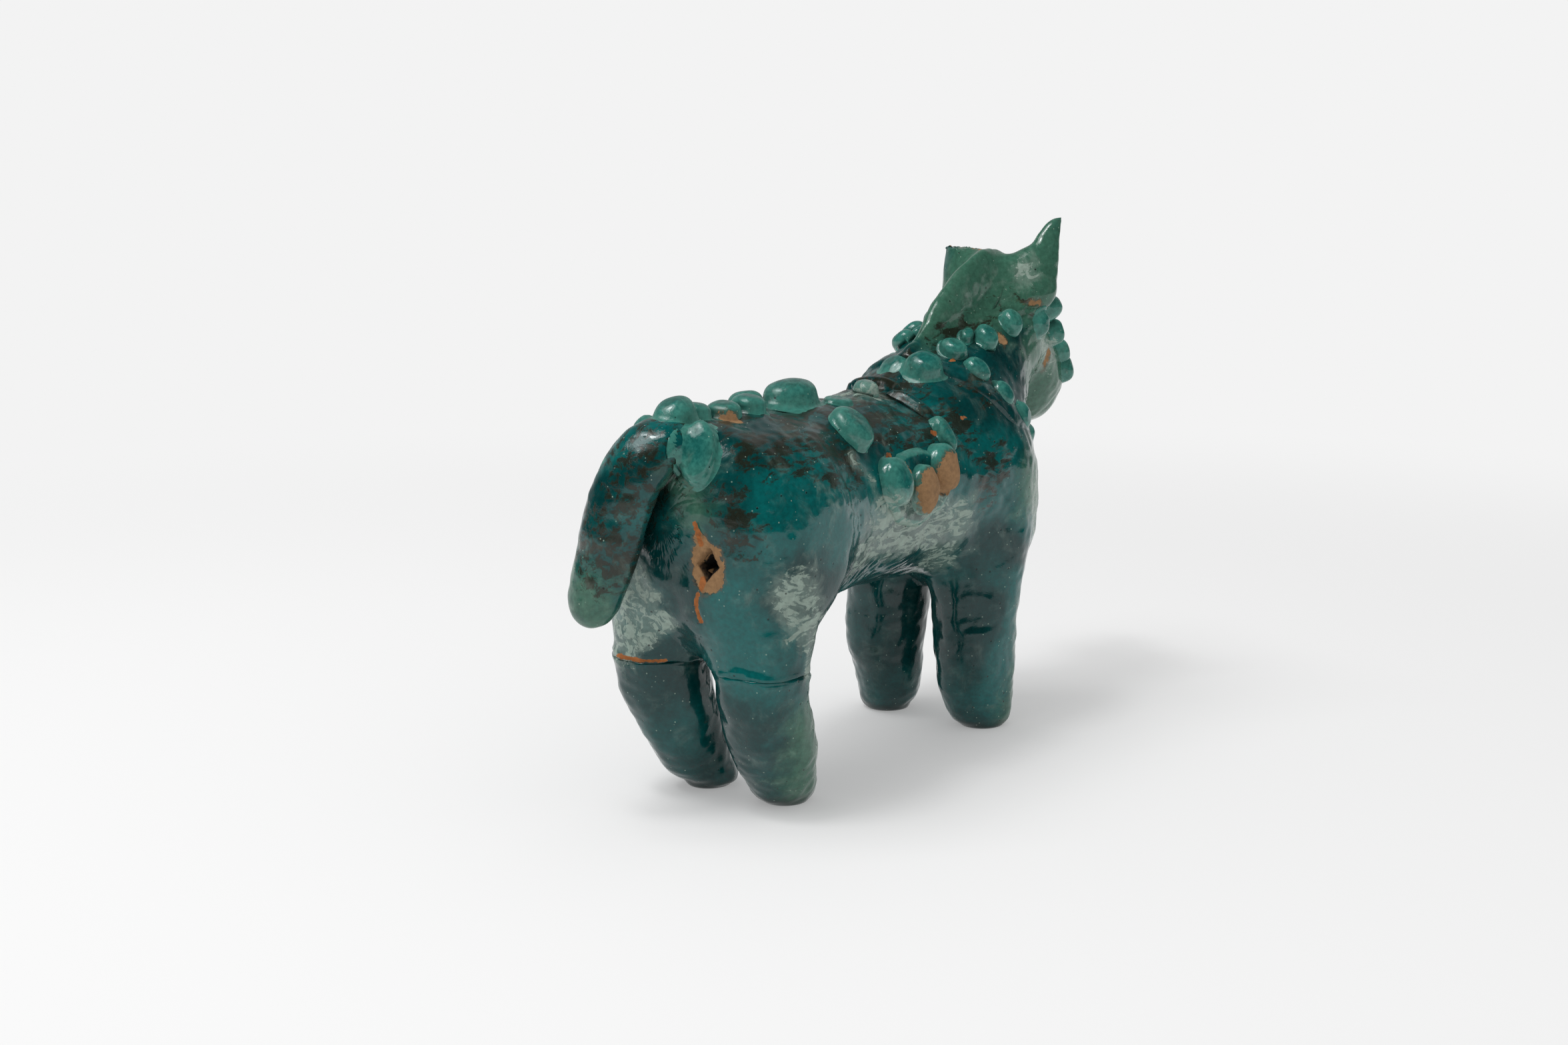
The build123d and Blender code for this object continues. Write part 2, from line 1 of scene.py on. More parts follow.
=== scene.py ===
import math
import bpy
import numpy as np
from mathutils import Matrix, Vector


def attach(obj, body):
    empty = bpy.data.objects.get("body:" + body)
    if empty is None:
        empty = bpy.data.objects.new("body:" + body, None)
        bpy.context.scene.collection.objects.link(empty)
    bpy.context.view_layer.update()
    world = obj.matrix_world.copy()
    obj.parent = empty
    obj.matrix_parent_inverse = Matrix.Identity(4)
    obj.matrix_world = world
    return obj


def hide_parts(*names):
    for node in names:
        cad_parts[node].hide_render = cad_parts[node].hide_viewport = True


# A hollow pouring vessel shaped as a standing animal, hand-built in clay under a blue-green glaze.
# All shapes are worked out in millimetres from the middle of the feet: X forward, Y to its left, Z up.
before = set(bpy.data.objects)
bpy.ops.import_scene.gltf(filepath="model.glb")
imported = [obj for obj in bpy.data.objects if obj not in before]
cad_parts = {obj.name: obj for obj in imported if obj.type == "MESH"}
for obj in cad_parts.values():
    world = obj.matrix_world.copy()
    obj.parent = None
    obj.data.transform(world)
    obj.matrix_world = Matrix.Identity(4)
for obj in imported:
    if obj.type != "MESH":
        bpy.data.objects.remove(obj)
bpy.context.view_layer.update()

middleOffset = 14.6      # mm from the middle of the feet to the middle of the whole length


# Curves and frames
def unit(v):
    return v / np.maximum(np.linalg.norm(v, axis=-1, keepdims=True), 1e-9)


# Cubic curve through values; held slopes never swing past a neighbour's value
def through(at, values, asked, held=False):
    at, values, asked = np.asarray(at, float), np.asarray(values, float), np.asarray(asked, float)
    slope = np.gradient(values, at, axis=0)
    if held:
        rise = np.diff(values, axis=0) / np.diff(at)[:, None]
        before, after = np.vstack([rise[:1], rise]), np.vstack([rise, rise[-1:]])
        limit = 3 * np.minimum(abs(before), abs(after))
        slope = np.where(before * after > 0, np.clip(slope, -limit, limit), 0)
    i = np.clip(np.searchsorted(at, asked, side="right") - 1, 0, len(at) - 2)
    w = (at[i + 1] - at[i])[:, None]
    t = (asked - at[i])[:, None] / w
    near = (1 + 2 * t) * (1 - t) ** 2 * values[i] + t * (1 - t) ** 2 * w * slope[i]
    return near + t * t * (3 - 2 * t) * values[i + 1] + t * t * (t - 1) * w * slope[i + 1]


# Smooth step from 0 at low to 1 at high
def rampUp(x, low, high):
    t = np.clip((x - low) / (high - low), 0, 1)
    return t * t * (3 - 2 * t)


# Slow waves of a hand-built surface: sums of sine waves in fixed, seeded directions
waveDice = np.random.RandomState(7)


def waveSet(count, shortest, longest):
    ways = unit(waveDice.normal(size=(count, 3))) * (2 * np.pi / waveDice.uniform(shortest, longest, count))[:, None]
    return ways, waveDice.uniform(0, 2 * np.pi, count)


slowWaves, quickWaves = waveSet(14, 12, 36), waveSet(22, 3.5, 9)


def waves(p, waveGroup):
    ways, phases = waveGroup
    return np.sin(p @ ways.T + phases).mean(-1)


# Forms: rings carried along a line. Each row is centre x, y, z, half width, rise and fall.
# Radii are eased by their squares, so that an end of no radius is round.
def ringForm(rows, way=None, side=(0, 1, 0), stations=90):
    rows = np.array(rows, float)
    centres = rows[:, :3]
    arc = np.concatenate([[0], np.cumsum(np.linalg.norm(np.diff(centres, axis=0), axis=1))])
    u = np.linspace(0, 1, stations)
    asked = arc[-1] * (1 - np.cos(np.pi * u)) / 2
    centre = through(arc, centres, asked)
    radii = np.sqrt(np.maximum(through(arc, rows[:, 3:] ** 2, asked, held=True), 0.01))
    if way is None:
        ways = unit(np.gradient(centre, asked, axis=0))
    else:
        ways = np.tile(unit(np.array(way, float)), (stations, 1))
    sides = unit(np.array(side, float) - (ways @ np.array(side, float))[:, None] * ways)
    caps = (arc[1] if rows[0, 3] < 0.5 else None, arc[-1] - arc[-2] if rows[-1, 3] < 0.5 else None)
    return finishForm(centre, ways, sides, radii, asked, way is not None, caps)


# An end of no radius is a cap of its own length; any other end is capped by half a ball
def finishForm(centre, ways, sides, radii, asked, straight=False, caps=(None, None)):
    first = 0 if caps[0] is None else int(np.searchsorted(asked, caps[0]))
    last = len(asked) - 1 if caps[1] is None else int(np.searchsorted(asked, asked[-1] - caps[1])) - 1
    lengths = [
        radii[i].mean() * 0.8 if cap is None else max(abs(asked[i] - asked[end]), 0.5)
        for i, end, cap in ((first, 0, caps[0]), (last, -1, caps[1]))
    ]
    return {
        "centre": centre, "way": ways, "side": sides, "up": np.cross(ways, sides), "radii": radii,
        "arc": asked, "straight": straight, "core": (first, last), "capLengths": lengths,
    }


# An ellipsoid with its own three axes
def ballForm(centre, halves, along=(1, 0, 0), across=(0, 1, 0)):
    x = unit(np.array(along, float))
    y = np.array(across, float)
    y = unit(y - (y @ x) * x)
    axes = np.array([x, y, np.cross(x, y)]) / np.array(halves, float)[:, None]
    return {"ball": np.array(centre, float), "axes": axes}


# How far a point lies out of a form, as a share of its radius there: rho - 1, which is 0 on the skin.
# rho = sqrt((across / half)^2 + (rise / top or bottom)^2 + (past the end / cap length)^2)
def level(form, p):
    if "ball" in form:
        return np.linalg.norm((p - form["ball"]) @ form["axes"].T, axis=-1) - 1, None
    first, last = form["core"]
    centre, way = form["centre"][first:last + 1], form["way"][first:last + 1]
    row = np.arange(len(p))
    if form["straight"]:
        at = (centre - centre[0]) @ way[0]
        s = (p - centre[0]) @ way[0]
        i = np.clip(np.searchsorted(at, s, side="right") - 1, 0, len(at) - 2)
        t = np.clip((s - at[i]) / np.maximum(at[i + 1] - at[i], 1e-6), 0, 1)[:, None]
        before, after = -s, s - at[-1]
    else:
        ahead = p @ way.T - (centre * way).sum(-1)
        i = np.clip((ahead >= 0).sum(-1) - 1, 0, len(centre) - 2)
        low, high = ahead[row, i], ahead[row, i + 1]
        t = np.clip(low / np.where(abs(low - high) < 1e-9, 1e-9, low - high), 0, 1)[:, None]
        before, after = -ahead[:, 0], ahead[:, -1]
    past = np.maximum(before, 0) / form["capLengths"][0] + np.maximum(after, 0) / form["capLengths"][1]
    mix = lambda a: a[first:last + 1][i] * (1 - t) + a[first:last + 1][i + 1] * t
    ways = mix(form["way"])
    q = p - mix(form["centre"])
    q = q - ways * (q * ways).sum(-1, keepdims=True)
    across, rise = (q * mix(form["side"])).sum(-1), (q * mix(form["up"])).sum(-1)
    half, top, bottom = mix(form["radii"]).T
    rho = np.sqrt((across / half) ** 2 + (rise / np.where(rise > 0, top, bottom)) ** 2 + past ** 2)
    return rho - 1, np.where((past > 0)[:, None], 0, ways)


# Distance in mm out of a form: the level over its steepness. The steepness along the form is
# that of its skin, so a point far off a taper isn't taken for a near one.
def distance(form, p, step=0.05):
    here, ways = level(form, p)
    slopes = np.stack([level(form, p + step * d)[0] - here for d in np.eye(3)], -1) / step
    if ways is None:
        return here / np.maximum(np.linalg.norm(slopes, axis=-1), 0.01)
    lengthwise = (slopes * ways).sum(-1)
    sideways = np.maximum(np.linalg.norm(slopes - ways * lengthwise[:, None], axis=-1), 0.01)
    taper = lengthwise / sideways / np.maximum(here + 1, 0.5)
    return here / sideways / np.sqrt(1 + taper ** 2)


# Far points keep a plain box distance, which saves work
def boxOf(form, reach):
    if "ball" in form:
        half = 1 / np.linalg.norm(form["axes"], axis=1).min()
        return form["ball"] - half - reach, form["ball"] + half + reach
    widest = form["radii"].max(-1, keepdims=True)
    return (form["centre"] - widest).min(0) - reach, (form["centre"] + widest).max(0) + reach


def nearDistance(form, p, reach):
    out = np.full(len(p), float(reach) * 2)
    low, high = boxOf(form, reach)
    inside = np.all((p > low) & (p < high), axis=-1)
    if inside.any():
        out[inside] = np.minimum(distance(form, p[inside]), reach * 2)
    return out


# Two distances joined by a soft fillet of width k: min(a, b) - h^2 k / 4, with h = max(k - |a - b|, 0) / k
def soft(a, b, k):
    h = np.maximum(k - abs(a - b), 0) / k
    return np.minimum(a, b) - h * h * k / 4


def joined(own, others, p):
    total = distance(own, p)
    for form, k in others:
        total = soft(total, nearDistance(form, p, k), k)
    return total


# Outward ways of a grid: across its rows and its turns, facing out of its middle line
def gridNormals(grid):
    down = np.gradient(grid, axis=0)
    across = np.roll(grid, -1, axis=1) - np.roll(grid, 1, axis=1)
    n = unit(np.cross(across, down))
    return n if (n * (grid - grid.mean(1, keepdims=True))).sum() > 0 else -n


# Moves the points of one form straight out to the skin that it shares with its neighbours.
# Points that a neighbour covers stop inside it, and sink a little where it owns the skin.
marchSteps, longestStep, sinkShare = 11, 1.6, 0.22


def weld(grid, own, others):
    shape = grid.shape
    p = grid.reshape(-1, 3).copy()
    out = gridNormals(grid).reshape(-1, 3)
    closest = np.min([nearDistance(form, p, k * 1.2) / k for form, k in others], axis=0)
    active = np.nonzero(closest < 1.05)[0]
    if len(active):
        start, way = p[active], out[active]
        widest = 0.55 * max(k for form, k in others)
        t = np.zeros(len(active))
        within = np.zeros(len(active))
        for step in range(marchSteps):
            here = joined(own, others, start + way * t[:, None])
            within = np.where(here < 0.03, t, within)
            t = np.clip(t - np.clip(here * 0.95, -longestStep, longestStep), 0, widest)
        here = joined(own, others, start + way * t[:, None])
        t = np.where(here > 0.12, within, t)      # a point left in the air goes back to its last place inside
        q = start + way * t[:, None]
        mine = distance(own, q)
        theirs = np.min([nearDistance(form, q, k) for form, k in others], axis=0)
        p[active] = q - way * (np.clip(mine - theirs, 0, 3) * sinkShare)[:, None]
    return p.reshape(shape)


# Grid of points over a ring form: rows evenly spaced over its skin by turns round it
def gridOf(form, along, turns):
    skin = np.concatenate([[0], np.cumsum(np.hypot(np.diff(form["arc"]), np.diff(form["radii"].mean(-1))))])
    asked = np.interp(np.linspace(0, skin[-1], along), skin, form["arc"])
    pick = lambda a: np.stack([np.interp(asked, form["arc"], a[:, c]) for c in range(a.shape[1])], -1)
    centre, radii = pick(form["centre"]), pick(form["radii"])
    side, up = unit(pick(form["side"])), unit(pick(form["up"]))
    angle = np.linspace(0, 2 * np.pi, turns, endpoint=False)
    rise = np.where(np.cos(angle) > 0, radii[:, 1:2], radii[:, 2:3]) * np.cos(angle)
    return centre[:, None] + side[:, None] * (radii[:, :1] * np.sin(angle))[..., None] + up[:, None] * rise[..., None]


# Steepest outward way of a form at a point
def outwardOf(form, p):
    p = np.array(p, float)[None]
    here = level(form, p)[0]
    return unit(np.stack([level(form, p + 0.1 * d)[0] - here for d in np.eye(3)], -1))[0]


# Point of a form's skin next to any point, with the outward way there
def seatNear(form, point):
    p = np.array(point, float)
    for step in range(8):
        p = p - distance(form, p[None])[0] * outwardOf(form, p)
    return p, outwardOf(form, p)


# The same at a point of a straight form's axis and a share of a turn from the top to the left
def seatAt(form, axisPoint, turn):
    at = (form["centre"] - form["centre"][0]) @ form["way"][0]
    s = (np.array(axisPoint, float) - form["centre"][0]) @ form["way"][0]
    half, top, bottom = (np.interp(s, at, form["radii"][:, c]) for c in range(3))
    angle = 2 * np.pi * turn
    rise = (top if math.cos(angle) > 0 else bottom) * math.cos(angle)
    return seatNear(form, np.array(axisPoint, float) + form["side"][0] * half * math.sin(angle) + form["up"][0] * rise)


# The main forms. The rows of no radius close an end; those inside a neighbour never show.
barrel = {
    "rows": [
        (-104, 0, 99, 0, 0, 0), (-103, 0, 99, 10.5, 17, 14), (-100, 0, 98, 23, 26, 25), (-93, 0, 96, 33, 33, 33),
        (-80, 0, 94, 39, 35, 37), (-64, 0, 95, 38.5, 35, 38), (-45, 0, 95, 35, 34, 35.5), (-20, 0, 96, 33, 32.5, 34.5),
        (5, 0, 97, 33.5, 31, 36), (30, 0, 97, 34.5, 31.5, 37.5), (55, 0, 95, 36, 33, 38), (72, 0, 90, 34, 30, 35),
        (84, 0, 83, 27, 25, 29), (91, 0, 78, 12.5, 12.5, 14), (92.5, 0, 78, 0, 0, 0),
    ],
    "axis": ((-104, 0, 95), (196.5, 0, 0)),
}
thigh = {
    "rows": [
        (-66, 14, 114, 0, 0, 0), (-66, 15, 106, 17, 14, 14), (-66, 16, 96, 24, 20, 20), (-70, 18, 80, 23, 20.5, 20.5),
        (-78, 19.5, 64, 17, 18, 18), (-79.8, 20.3, 49, 15.2, 15.2, 15.2),
    ],
}
hindLeg = {
    "rows": [
        (-79.8, 20.3, 49, 15.2, 15.2, 15.2), (-78, 20.3, 40, 15.2, 14.9, 14.9), (-72.5, 19.3, 25, 15, 14.2, 14.2),
        (-65.5, 17.3, 10, 12.5, 11.7, 11.7), (-61.2, 16.3, 3, 10.3, 9.6, 9.6), (-60, 16, 0, 7.6, 7.2, 7.2),
    ],
}
foreLeg = {
    "rows": [
        (62, 12, 103, 0, 0, 0), (62, 13, 95, 14, 13, 13), (61, 16, 84, 18.5, 16.5, 16.5),
        (60, 18.4, 74, 20, 17.5, 17.5), (56.5, 18.5, 57, 17.5, 16.5, 16.5), (54.5, 19, 40, 15.7, 15.3, 15.3),
        (54.8, 19.5, 25, 15, 14.6, 14.6), (56.5, 20, 10, 13, 12.3, 12.3), (57.5, 21, 3, 10.8, 10.3, 10.3),
        (58, 21, 0, 8.2, 7.8, 7.8),
    ],
}
neck = {
    "rows": [
        (37, 0, 88, 0, 0, 0), (43, 0, 93.6, 22, 26, 22), (48, 0, 98.5, 28, 33, 28), (54, 0, 104, 31, 36, 30),
        (65.5, 0, 115, 28, 32, 30), (77, 0, 126, 24, 26, 27), (88.5, 0, 137, 20, 20, 22), (100, 0, 148, 16, 14, 17),
        (103, 0, 151, 12, 10.5, 13), (106, 0, 153.8, 0, 0, 0),
    ],
    "axis": ((54, 0, 104), (46, 0, 44)),
}
head = {
    "turn": 14,
    "rows": [
        (86.0, -3.5, 156.5, 0, 0, 0), (89.4, -3.6, 154, 11, 11, 11), (94.1, -2.5, 149.7, 15, 14, 14),
        (103, -0.2, 141.4, 17.4, 17, 16), (112.7, 2.2, 132.4, 17.8, 18, 16), (120.5, 4.1, 125.2, 16.5, 17, 15.5),
        (126.3, 5.6, 119.8, 13, 13.5, 13), (131, 6.6, 115.5, 0, 0, 0),
    ],
    "axis": ((89.45, -3.63, 154), (38.8, 9.7, -36)),
    "jaw": {"centre": (124.6, 5.1, 121), "halves": (20, 17, 16.3)},
}
tail = {
    "rows": [
        (-84, 0, 116, 0, 0, 0), (-88, 0, 119, 6, 5, 5), (-96, 0, 122.5, 10, 8, 8), (-104, 1.5, 123, 11, 8, 8),
        (-111, 6, 114, 11.5, 8, 8), (-114, 10.5, 100, 11.5, 8, 8), (-116, 14.4, 84, 10.5, 7.5, 7.5),
        (-118, 16.9, 71.8, 8.6, 6.2, 6.2), (-118.6, 17.5, 68.1, 6.4, 4.6, 4.6), (-119, 18, 64.8, 0, 0, 0),
    ],
}
mirrored = lambda rows: [(row[0], -row[1]) + tuple(row[2:]) for row in rows]
headAngle = math.radians(head["turn"])
headWay = np.array((math.cos(headAngle), math.sin(headAngle), 0))
headLeft = np.array((-math.sin(headAngle), math.cos(headAngle), 0))

barrelForm = ringForm(barrel["rows"], way=(1, 0, 0), stations=140)
thighForms, hindForms, foreForms = ({
    "Left": ringForm(part["rows"], way=(0, 0, -1), side=(1, 0, 0)),
    "Right": ringForm(mirrored(part["rows"]), way=(0, 0, -1), side=(1, 0, 0)),
} for part in (thigh, hindLeg, foreLeg))
neckForm = ringForm(neck["rows"], way=(46, 0, 44))
faceForm = ringForm(head["rows"], way=(headWay * 40 - np.array((0, 0, 36.0))), side=headLeft)
jawForm = ballForm(head["jaw"]["centre"], head["jaw"]["halves"], headWay, headLeft)
tailForm = ringForm(tail["rows"])

# The mane: a fin whose rings stand from a hidden foot up to the crest
mane = {
    "crest": [
        (31, 0, 131), (38, 0, 140), (46.5, -.5, 148.1), (54.6, -1, 156.8), (62, -2, 163), (69.5, -3, 169.2),
        (78.7, -4, 173.6), (89, -3, 174), (98, -1, 172.5), (105, 1, 166), (109, 2, 157),
    ],
    "foot": [
        (40, 0, 124), (46, 0, 128), (56, 0, 132), (64, 0, 136), (72, 0, 140), (80, 0, 144),
        (88, 0, 148), (94, 0, 150), (100, 1, 150), (103, 1, 149), (105, 1.5, 147),
    ],
    "halfThickness": [0, 2.6, 4.4, 5.0, 5.0, 5.0, 5.0, 4.7, 4.0, 2.6, 0],
}


# Rings between the two lines of a fin, eased along it
def finForm(values, stations=60):
    at = np.linspace(0, 1, len(values["crest"]))
    asked = np.linspace(0, 1, stations)
    crest, foot = through(at, values["crest"], asked), through(at, values["foot"], asked)
    centre, rise = (crest + foot) / 2, crest - foot
    side = unit(np.cross(rise, np.gradient(centre, asked, axis=0)))
    half = np.linalg.norm(rise, axis=1) / 2
    thick = np.maximum(through(at, np.array(values["halfThickness"])[:, None], asked, held=True)[:, 0], 0.1)
    arc = np.concatenate([[0], np.cumsum(np.linalg.norm(np.diff(centre, axis=0), axis=1))])
    endRows = stations // 12
    caps = (arc[endRows], arc[-1] - arc[-endRows])
    return finishForm(centre, unit(np.cross(side, rise)), side, np.stack([thick, half, half], -1), arc, False, caps)


maneForm = finForm(mane)

# The ears: upright blades; the left one is broken off flat.
# Rows: height; reach of the outer edge, blade, place along the head and thickness, as shares.
ear = {
    "root": (104, 0, 150), "height": 35.5, "spread": 21.8, "blade": 28.0, "thickness": 15.0, "splay": 56,
    "breakHeight": 173.5, "breakTop": 174.3, "breakRough": 1.4,
    "rows": [
        (-0.16, 0.52, 0.02, -0.17, 0.02), (-0.08, 0.62, 0.42, -0.17, 0.55), (0.00, 0.70, 0.64, -0.17, 0.75),
        (0.09, 0.90, 0.88, -0.15, 0.95), (0.19, 0.975, 0.95, -0.12, 0.96), (0.31, 0.985, 0.89, -0.10, 0.87),
        (0.535, 0.995, 0.76, -0.065, 0.69), (0.65, 1.00, 0.57, -0.04, 0.59), (0.73, 1.00, 0.40, -0.025, 0.51),
        (0.845, 0.995, 0.29, 0.00, 0.37), (0.95, 0.995, 0.17, 0.03, 0.24), (0.995, 0.998, 0.05, 0.03, 0.08),
        (1.00, 1.00, 0.0, 0.02, 0.0),
    ],
}


def earForm(hand):
    turn = headAngle + hand * math.radians(ear["splay"])
    bladeWay = np.array((math.cos(turn), math.sin(turn), 0))
    rows = []
    for height, reach, blade, place, thick in ear["rows"]:
        edge = np.array(ear["root"]) + headWay * ear["blade"] * place + headLeft * hand * ear["spread"] * reach
        half = ear["blade"] / 2 * blade
        centre = edge - bladeWay * half + np.array((0, 0, ear["height"] * height))
        rows.append((*centre, ear["thickness"] / 2 * thick, half, half))
    return ringForm(rows, way=(0, 0, 1), side=np.cross(bladeWay, (0, 0, 1)))


earForms = {"Left": earForm(1), "Right": earForm(-1)}
print("forms worked out")

# Marks in the glaze. Each is a rod: one end, other end, radius; p lies inside where the depth is positive.
ventHole = {"place": (-101.3, -15.9, 86.2), "halfWidth": 3.9, "halfHeight": 5.8, "depth": 9.0}
marks = {
    "clay": [      # bare clay: the leaf round the kiln hole, chips between the pellets, the broken ear
        ((-99.5, -14.2, 78.5), (-100.9, -15.2, 82), 2.0), ((-100.4, -15.9, 83), (-101.6, -15.8, 88), 5.6),
        ((-101.9, -14.9, 91), (-102.3, -13.9, 94), 2.2), ((110.9, -17, 133), (110.9, -17, 128), 2.4),
        ((-77.1, -4.4, 129.1), (-77.1, -8.6, 128.3), 2.2), ((85.3, -9.7, 154.4), (94.9, -21.3, 154.3), 0.9),
        ((73.7, -16.7, 143.3), (73.9, -18.0, 141.8), 1.8), ((90.1, -1.4, 173.2), (99.4, 21.4, 174.2), 0.5),
    ],
    "crack": [     # cracks in the rump, the open seam of the left hind leg and small chips
        ((-102.4, -12.5, 98.9), (-101.7, -13.7, 92.8), 0.95), ((-100.5, -14, 81.4), (-100, -10.5, 73.2), 1.0),
        ((-100, -10.5, 73.2), (-98.1, -11, 67.2), 0.95), ((-95.1, 26.2, 49.9), (-94.9, 17, 49.9), 0.95),
        ((-94.9, 17, 49.9), (-90.8, 10.1, 50), 1.0),
        ((-101.8, -4.4, 120.2), (-100.3, -3.6, 125), 0.9), ((-19.8, -29.1, 111.8), (-18.5, -29.2, 111.7), 1.1),
        ((11, -27.5, 115.5), (12, -27.5, 115.4), 1.2), ((30.7, -26.2, 117.8), (32.6, -26.1, 117.6), 1.6),
        ((45.5, -12.9, 135.7), (46.5, -12.9, 136), 1.3), ((-58, -35, 28), (-58.2, -35, 27), 0.9),
        ((49, -34.5, 38), (49, -34.5, 37), 0.9),
    ],
    "worn": [      # pale film where the glaze has weathered
        ((-38, -33, 84), (22, -32, 83), 9), ((-27, -34, 94), (2, -34, 92), 7), ((10, -33, 78), (27, -19, 66), 8),
        ((-84, -37, 79), (-79, -37, 66), 8), ((-95, 25, 55), (-99, 15, 74), 9), ((-97, 8, 66), (-90, 24, 52), 6),
        ((-67.5, -38.5, 109), (-65.5, -38, 101), 1.6), ((-5, 0, 128.5), (4, -6, 128.5), 5),
        ((-41, -30, 113), (-34, -33, 104.6), 1.6),
        ((-62, -33, 42), (-55, -29, 14), 8), ((66, -35, 44), (68, -33, 22), 6), ((104, -15, 140), (113, -15, 133), 7),
        ((74, -34, 84), (80, -30, 78), 10), ((52, -20, 124), (60, -24, 119), 5), ((-76, -37, 60), (-70, -35, 48), 6),
        ((-118, 22, 92), (-120, 24, 72), 3), ((70, -14, 156), (92, -16, 166), 5),
    ],
    "sage": [      # greener glaze of the head, the mane, the tail's tip and the chest
        ((78, -5, 166), (108, -8, 166), 24), ((108, -6, 134), (130, 4, 118), 26), ((50, -4, 152), (80, 0, 158), 12),
        ((-118, 16, 76), (-118, 18, 66), 9), ((66, -32, 92), (84, -24, 80), 12), ((-104, -9, 112), (-100, -12, 104), 5),
        ((-70, -33, 30), (-62, -28, 8), 10), ((70, -30, 40), (66, -30, 6), 9),
    ],
    "brown": [      # olive and brown mottling along the spine and over the saddle
        ((-92, 0, 127), (28, 0, 129), 15), ((-84, -24, 121), (-48, -30, 114), 12),
        ((-60, -14, 126), (-8, -24, 121), 10), ((-6, -24, 119), (26, -27, 116), 10),
        ((44, -24, 124), (52, -22, 126), 8), ((44, -35, 104), (36, -34, 94), 7),
        ((-108, 2, 118), (-116, 12, 88), 12), ((-101, -24, 106), (-99, -26, 96), 7),
        ((84, -10, 153), (96, -20, 153), 4), ((50, -6, 142), (74, -12, 148), 5), ((28, -27, 112), (34, -32, 102), 5),
    ],
    "bright": [      # thick, bright turquoise runs
        ((-80, -36, 106), (-58, -38, 96), 17), ((-50, -33, 104), (-30, -33, 104), 12),
        ((-10, -30, 112), (24, -30, 108), 12),
        ((50, -35, 96), (60, -35, 88), 15), ((-104, 2, 126), (-112, 8, 108), 9), ((60, -34, 50), (56, -34, 22), 9),
        ((-92, -20, 66), (-76, -34, 36), 12),
    ],
}


def rodDepth(p, a, b, radius):
    a, b = np.array(a, float), np.array(b, float)
    t = np.clip(((p - a) @ (b - a)) / max((b - a) @ (b - a), 1e-9), 0, 1)
    return radius - np.linalg.norm(p - a - t[:, None] * (b - a), axis=1)


def markDepth(p, group):
    return np.max([rodDepth(p, a, b, radius) for a, b, radius in marks[group]], axis=0)


# The kiln hole is a diamond seen from behind: 1 in its middle, 0 at its edge
def holeDepth(p):
    q = p - np.array(ventHole["place"])
    edge = 1 - np.abs(q[:, 1] + 0.15 * q[:, 2]) / ventHole["halfWidth"] - np.abs(q[:, 2]) / ventHole["halfHeight"]
    return np.where((p[:, 0] < -90) & (p[:, 0] > -112), edge, -1)


# Outward moves in mm: hand waves, the ridge of clay over the hind leg's seam, sunk clay and the hole
handwork = {"slow": 2.2, "quick": 0.55, "chipDepth": 0.4, "crackDepth": 0.7, "flatFeet": 2.5}
legSeam = {"height": 49, "ridge": 0.75, "ridgeWidth": 2.0, "groove": 0.7, "grooveWidth": 0.55}
sideLimit = {"from": 38, "give": 2.4}


def relief(p, amount):
    move = amount * (handwork["slow"] * waves(p, slowWaves) + handwork["quick"] * waves(p, quickWaves))
    onHindLeg = np.where((p[:, 0] < -55) & (p[:, 2] < 60), 1, 0)
    height = p[:, 2] - legSeam["height"] + 0.8 * np.sin(p[:, 1] * 0.35)      # the seam wanders 0.8 mm up and down
    ridge = legSeam["ridge"] * np.exp(-(height / legSeam["ridgeWidth"]) ** 2)
    move += onHindLeg * (ridge - legSeam["groove"] * np.exp(-(height / legSeam["grooveWidth"]) ** 2))
    move -= handwork["chipDepth"] * rampUp(markDepth(p, "clay") + waves(p * 1.7, quickWaves), -0.2, 0.5)
    move -= handwork["crackDepth"] * rampUp(markDepth(p, "crack"), 0.0, 0.6)
    move -= ventHole["depth"] * rampUp(holeDepth(p), 0.0, 0.35)
    return move * rampUp(p[:, 2], 0.0, handwork["flatFeet"])


def addMarks(mesh, p, rims):
    rows = {group: markDepth(p, group) for group in marks}
    rows["hole"] = holeDepth(p)
    rows["rim"] = rims
    for name, values in rows.items():
        layer = mesh.attributes.new(name, "FLOAT", "POINT")
        layer.data.foreach_set("value", values.astype(np.float32))


glazeObjects = []


